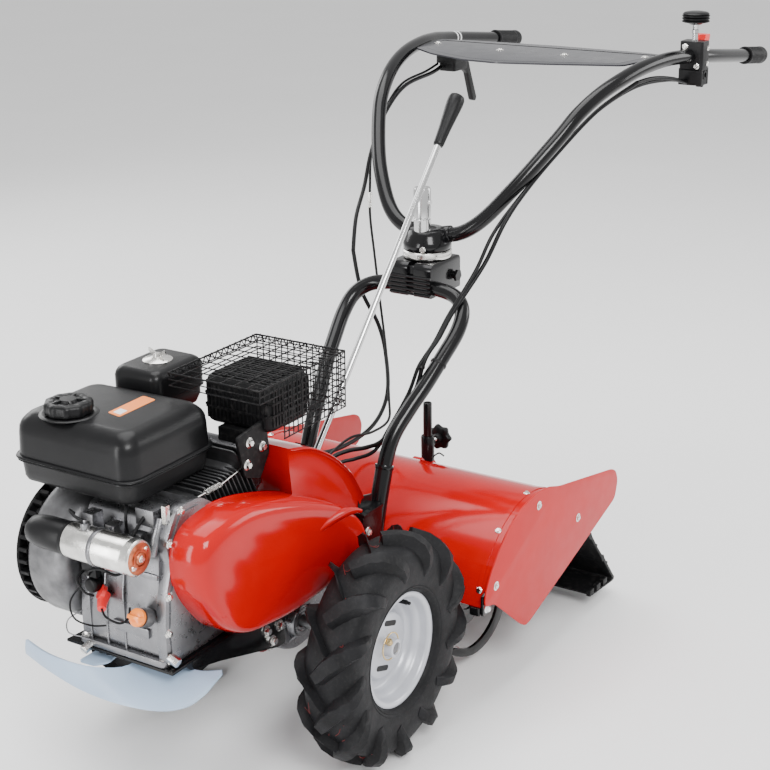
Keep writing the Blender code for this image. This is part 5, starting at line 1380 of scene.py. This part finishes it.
piece("swivel_ring_zinc", turned([(0.0160, 0.7506), (0.0430, 0.7506), (0.0470, 0.7520), (0.0480, 0.7545),
            (0.0480, 0.7570), (0.0465, 0.7580), (0.0465, 0.7592), (0.0480, 0.7602), (0.0480, 0.7640),
            (0.0460, 0.7662), (0.0160, 0.7664)],
        (cx, 0, 0), "z", 72), "zinc", "column", "swivel_ring")
piece("saddle_turned", merge(
        turned([(0.0180, 0.7668), (0.0440, 0.7668), (0.0472, 0.7690), (0.0474, 0.7790), (0.0450, 0.7860),
            (0.0400, 0.7960), (0.0360, 0.8040), (0.0320, 0.8062), (0.0180, 0.8062)], (cx, 0, 0), "z", 72),
        *[merge(bar((0.553, s * 0.0445, 0.7960), (0.553, s * 0.0150, 0.7905), 0.0165, 28, 0.002))
            for s in (-1, 1)]),
    "black", "handlebar", "handlebar_saddle", sharp=55)
for k, a in enumerate((200, 320, 80)):
    t = math.radians(a)
    d = (math.cos(t), math.sin(t), 0)
    piece("saddle_screw_%d" % k, bolt((cx + 0.0462 * d[0], 0.0462 * d[1], 0.7740), d, 0.0045, 0.004),
        "zinc", "handlebar")
piece("swivel_lock_chrome", merge(
        turned([(0, 0.7905), (0.0150, 0.7905), (0.0166, 0.7920), (0.0166, 0.8280), (0.0148, 0.8295),
            (0.0148, 0.8315), (0.0166, 0.8330), (0.0166, 0.8870), (0.0150, 0.8898), (0.0110, 0.8900),
            (0, 0.8890)], (0.517, 0, 0), "z", 48),
        turned([(0, -0.0190), (0.0048, -0.0190), (0.0056, -0.0180), (0.0056, 0.0185), (0, 0.0185)],
            (0.517, 0, 0.862), "y", 24)),
    "steel", "handlebar", "swivel_lock")

# ---------------------------------------------------------------- handlebar
BAR_SIDE = [(0.553, 0.045, 0.794), (0.556, 0.080, 0.808), (0.571, 0.112, 0.835), (0.603, 0.148, 0.882),
    (0.636, 0.175, 0.923),
    (0.684, 0.205, 0.975), (0.724, 0.224, 1.014), (0.777, 0.242, 1.045), (0.838, 0.259, 1.067),
    (0.908, 0.273, 1.082), (0.987, 0.286, 1.088), (1.060, 0.299, 1.086), (1.110, 0.306, 1.081),
    (1.170, 0.311, 1.074), (1.250, 0.312, 1.064), (1.350, 0.311, 1.0515), (1.452, 0.309, 1.039)]
BAR = [(x, -y, z) for x, y, z in reversed(BAR_SIDE)] + [(0.5525, 0.0, 0.7915)] + BAR_SIDE
piece("handlebar_bent", tube(BAR, TUBE_R - 0.0002, 32, 6), "black", "handlebar", "handlebar_tube", sharp=60)
for side, s in (("left", -1), ("right", 1)):
    end, prev = Vector((1.452, s * 0.309, 1.039)), Vector((1.350, s * 0.311, 1.0515))
    u = (end - prev).normalized()
    body = [(0.0150, -0.0960), (0.0178, -0.0960), (0.0190, -0.0945), (0.0190, -0.0905), (0.0178, -0.0885)]
    for k in range(12):
        body += [(0.0178, -0.0860 + 0.0060 * k), (0.0185, -0.0850 + 0.0060 * k),
            (0.0185, -0.0828 + 0.0060 * k),
            (0.0178, -0.0818 + 0.0060 * k)]
    body += [(0.0180, -0.0100), (0.0188, -0.0060), (0.0190, 0.0020), (0.0180, 0.0060), (0.0150, 0.0075),
        (0, 0.0075), (0, 0.0020),
        (0.0150, 0.0020)]
    piece("grip_%s_moulded" % side, turned(body, end, u, 56), "grip", "handlebar", "grip_" + side, sharp=50)
for k, x in enumerate((1.160, 1.176)):
    i = [p for p in BAR_SIDE if p[0] <= x][-1]
    j = BAR_SIDE[BAR_SIDE.index(i) + 1]
    t = (x - i[0]) / (j[0] - i[0])
    c = Vector(i) * (1 - t) + Vector(j) * t
    u = (Vector(j) - Vector(i)).normalized()
    piece("bar_mark_%d" % k, turned([(0.0140, -0.0022), (0.0149, -0.0022), (0.0149, 0.0022),
                (0.0140, 0.0022)], c, u, 36), "white",
        "handlebar")
CONSOLE = [(0.880, -0.243), (0.829, -0.100), (0.800, 0.0), (0.806, 0.080), (0.850, 0.180), (0.902, 0.248),
    (1.038, 0.273), (1.052, 0.200), (1.062, 0.0), (1.052, -0.200), (1.038, -0.273)]
console = fillet(CONSOLE, 0.012, 4)
piece("console_panel", merge(plate(console, 1.0862, 1.0893, "z"),
        plate(inset(console, 0.020), 1.0892, 1.0896, "z")), "console", "handlebar", "console_plate",
    bevel=0.0009)
piece("console_bolts", merge(*[turned([(0, 0), (0.0085, 0), (0.0085, 0.0012), (0.0050, 0.0014),
            (0, 0.0014)], (x, y, 1.0892), (0, 0, 1), 24)
            for x, y in ((0.982, 0.243), (0.950, 0.072), (0.990, -0.240), (0.948, -0.080))],
        *[turned([(0, 0.0010), (0.0050, 0.0010), (0.0044, 0.0034), (0.0024, 0.0042), (0, 0.0043)],
            (x, y, 1.0892), (0, 0, 1), 24)
            for x, y in ((0.982, 0.243), (0.950, 0.072), (0.990, -0.240), (0.948, -0.080))]),
    "zinc", "handlebar")

# ---------------------------------------------------------------- controls
kx, ky = 1.089, -0.305
piece("control_clamp_moulded", merge(
        block((1.0705, -0.3305, 1.0560), (1.1075, -0.2795, 1.1150), 0.006),
        block((1.0705, -0.3305, 1.0265), (1.0790, -0.2795, 1.0600), 0.002),
        block((1.0990, -0.3305, 1.0265), (1.1075, -0.2795, 1.0600), 0.002),
        block((1.0760, -0.3300, 1.0265), (1.1020, -0.2800, 1.0400), 0.002)), "plastic", "handlebar",
    "near_control_clamp", bevel=0.0012)
piece("control_clamp_eye", turned([(0.0056, -0.3312), (0.0092, -0.3312), (0.0096, -0.3300),
            (0.0096, -0.2800), (0.0092, -0.2790), (0.0056, -0.2790)], (kx, 0, 1.047), "y", 36), "plastic",
    "handlebar")
piece("control_clamp_screws", merge(*[bolt((1.0705, y, z), (-1, 0, 0), 0.0042, 0.0034) for y,
            z in ((-0.318, 1.066), (-0.292, 1.104))],
        *[bolt((1.0990, -0.3305, z), (0, -1, 0), 0.0036, 0.003) for z in (1.0690, 1.1000)]), "zinc",
    "handlebar")
ribs = [(0, 1.1480), (0.0120, 1.1480), (0.0150, 1.1500)]
for k in range(3):
    ribs += [(0.0245 + 0.0010 * k, 1.1520 + 0.0056 * k), (0.0280, 1.1532 + 0.0056 * k),
        (0.0280, 1.1552 + 0.0056 * k),
        (0.0250, 1.1564 + 0.0056 * k)]
ribs += [(0.0272, 1.1690), (0.0240, 1.1720), (0.0160, 1.1736), (0, 1.1740)]
piece("drive_knob_cap", turned(ribs, (kx, ky, 0), "z", 56), "plastic", "drive_control", "drive_knob",
    sharp=45)
piece("drive_knob_stalk", turned([(0, 1.1055), (0.0058, 1.1055), (0.0058, 1.1300), (0.0072, 1.1310),
            (0.0072, 1.1370), (0.0058, 1.1380), (0.0066, 1.1485), (0, 1.1485)], (kx, ky, 0), "z", 32),
    "steel", "drive_control")
CATCH = [(1.1090, 1.1115), (1.112, 1.1035), (1.124, 1.1035), (1.1375, 1.1125), (1.1395, 1.1235),
    (1.118, 1.1255)]
piece("red_catch_moulded", plate(fillet(CATCH, 0.003), -0.3175, -0.2925), "red_plastic", "catch",
    "red_catch", bevel=0.0016)
piece("clutch_trigger", merge(plate(fillet([(1.112, 1.0700), (1.132, 1.0640), (1.1345, 1.0400),
            (1.1300, 1.0160), (1.1220, 1.0150), (1.1245, 1.0400), (1.1200, 1.0560), (1.1100, 1.0600)],
            0.003), -0.3120, -0.2980)),
    "plastic", "handlebar", bevel=0.0014)
piece("throttle_case", merge(block((0.9755, 0.1965, 1.0480), (1.0445, 0.2455, 1.0855), 0.007),
        block((0.9820, 0.2010, 1.0305), (1.0380, 0.2410, 1.0500), 0.006),
        bar((1.020, 0.1950, 1.056), (1.020, 0.1970, 1.056), 0.0090, 32, 0.0006)), "plastic", "handlebar",
    "throttle_box", bevel=0.0012)
THROTTLE = [(1.0465, 1.0400), (1.0520, 1.0455), (1.0700, 1.0415), (1.0780, 1.0200), (1.1055, 0.9560),
    (1.1000, 0.9485),
    (1.0885, 0.9520), (1.0640, 1.0160), (1.0485, 1.0260)]
piece("throttle_lever_moulded", plate(fillet(THROTTLE, 0.004), 0.2155, 0.2275), "plastic", "throttle",
    "throttle_lever", bevel=0.0022)
piece("throttle_bracket", merge(
        plate(fillet([(0.984, 0.236), (1.012, 0.236), (1.012, 0.262), (0.984, 0.266)], 0.004), 1.0700,
            1.0730, "z"),
        bolt((0.998, 0.2455, 1.060), (0, 1, 0), 0.0045, 0.004)), "cast_dark", "handlebar", bevel=0.0008)

# ---------------------------------------------------------------- cables
CLUTCH = [(0.905, -0.262, 1.052), (0.800, -0.228, 1.010), (0.700, -0.196, 0.944), (0.610, -0.176, 0.885),
    (0.546, -0.165, 0.835),
    (0.507, -0.146, 0.765), (0.463, -0.128, 0.712), (0.432, -0.115, 0.676), (0.3925, -0.111, 0.640),
    (0.367, -0.1035, 0.616), (0.352, -0.100, 0.595), (0.338, -0.092, 0.550), (0.297, -0.079, 0.500),
    (0.266, -0.062, 0.466), (0.254, -0.036, 0.452), (0.236, -0.008, 0.446), (0.214, 0.012, 0.437),
    (0.190, 0.020, 0.420)]
REVERSE = [(1.086, -0.296, 1.030), (1.010, -0.2810, 1.044), (0.905, -0.2560, 1.042),
    (0.800, -0.2200, 1.002), (0.700, -0.1880, 0.934),
    (0.602, -0.1660, 0.872), (0.528, -0.1500, 0.815), (0.488, -0.1380, 0.756), (0.450, -0.1240, 0.708),
    (0.424, -0.1110, 0.672), (0.386, -0.1060, 0.634), (0.360, -0.0980, 0.608), (0.345, -0.0930, 0.590),
    (0.326, -0.0840, 0.545), (0.288, -0.0700, 0.494), (0.258, -0.0520, 0.448), (0.238, -0.0220, 0.432),
    (0.216, 0.0000, 0.426), (0.180, 0.0060, 0.412)]
STOP = [(0.976, 0.240, 1.046), (0.930, 0.242, 1.036), (0.834, 0.244, 1.022), (0.760, 0.241, 0.976),
    (0.698, 0.232, 0.907),
    (0.673, 0.222, 0.839), (0.638, 0.200, 0.786), (0.597, 0.165, 0.726), (0.547, 0.120, 0.640),
    (0.505, 0.080, 0.552), (0.467, 0.050, 0.468), (0.440, 0.035, 0.432), (0.373, 0.030, 0.430),
    (0.318, 0.040, 0.436), (0.277, 0.050, 0.424), (0.220, 0.052, 0.405)]
GAS = [(0.976, 0.232, 1.040), (0.940, 0.233, 1.032), (0.834, 0.237, 1.018), (0.754, 0.236, 0.972),
    (0.687, 0.226, 0.908),
    (0.640, 0.214, 0.845), (0.579, 0.195, 0.795), (0.536, 0.175, 0.738), (0.528, 0.152, 0.661),
    (0.546, 0.124, 0.588), (0.541, 0.104, 0.528), (0.520, 0.088, 0.455), (0.462, 0.080, 0.412),
    (0.369, 0.078, 0.400), (0.262, 0.078, 0.415), (0.150, 0.084, 0.470)]


def cable(name, path, radius, split, *nodes, finish="cable"):
    """A cable in two lengths, split at the given point."""
    for tag, part, a, b in (("upper", path[:split + 1], "handlebar", "column"),
        ("lower", path[split:], "column", "machine")):
        node = piece(name + "_" + tag, tube(part, radius, 16, 10), finish, None, *nodes, sharp=70)
        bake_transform(node)


cable("clutch_outer", CLUTCH, 0.0042, 6, "clutch_cable")
cable("throttle_outer", GAS, 0.0042, 7, "throttle_cable")
cable("reverse_outer", REVERSE, 0.0036, 8)
cable("stop_outer", STOP, 0.0026, 7)
lean = Vector(STOP[6]) - Vector(STOP[5])
adjuster = piece("stop_adjuster", turned([(0.0022, -0.016), (0.0042, -0.016), (0.0046, -0.014),
            (0.0046, 0.006), (0.0036, 0.007), (0.0036, 0.012),
            (0.0048, 0.013), (0.0048, 0.018), (0.0022, 0.018)],
        (Vector(STOP[5]) + Vector(STOP[6])) / 2, lean, 24), "zinc", None)
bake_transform(adjuster)
piece("clutch_lead_in", tube([(1.078, -0.300, 1.030), (1.020, -0.285, 1.046), (0.960, -0.272, 1.054),
            (0.905, -0.262, 1.052)],
        0.0042, 16, 6), "cable", "handlebar", sharp=70)
clips = [turned([(0.0147, -0.0022), (0.0160, -0.0022), (0.0160, 0.0022), (0.0147, 0.0022)],
        (0.376, -0.1195, 0.5950),
        (0.72, -0.13, 0.68), 36),
    turned([(0.0040, -0.0022), (0.0078, -0.0022), (0.0078, 0.0022), (0.0040, 0.0022)],
        (0.350, -0.0970, 0.592), (0.45, 0.1, 0.9), 24)]
piece("arch_cable_clips", merge(*clips), "plastic", "machine")
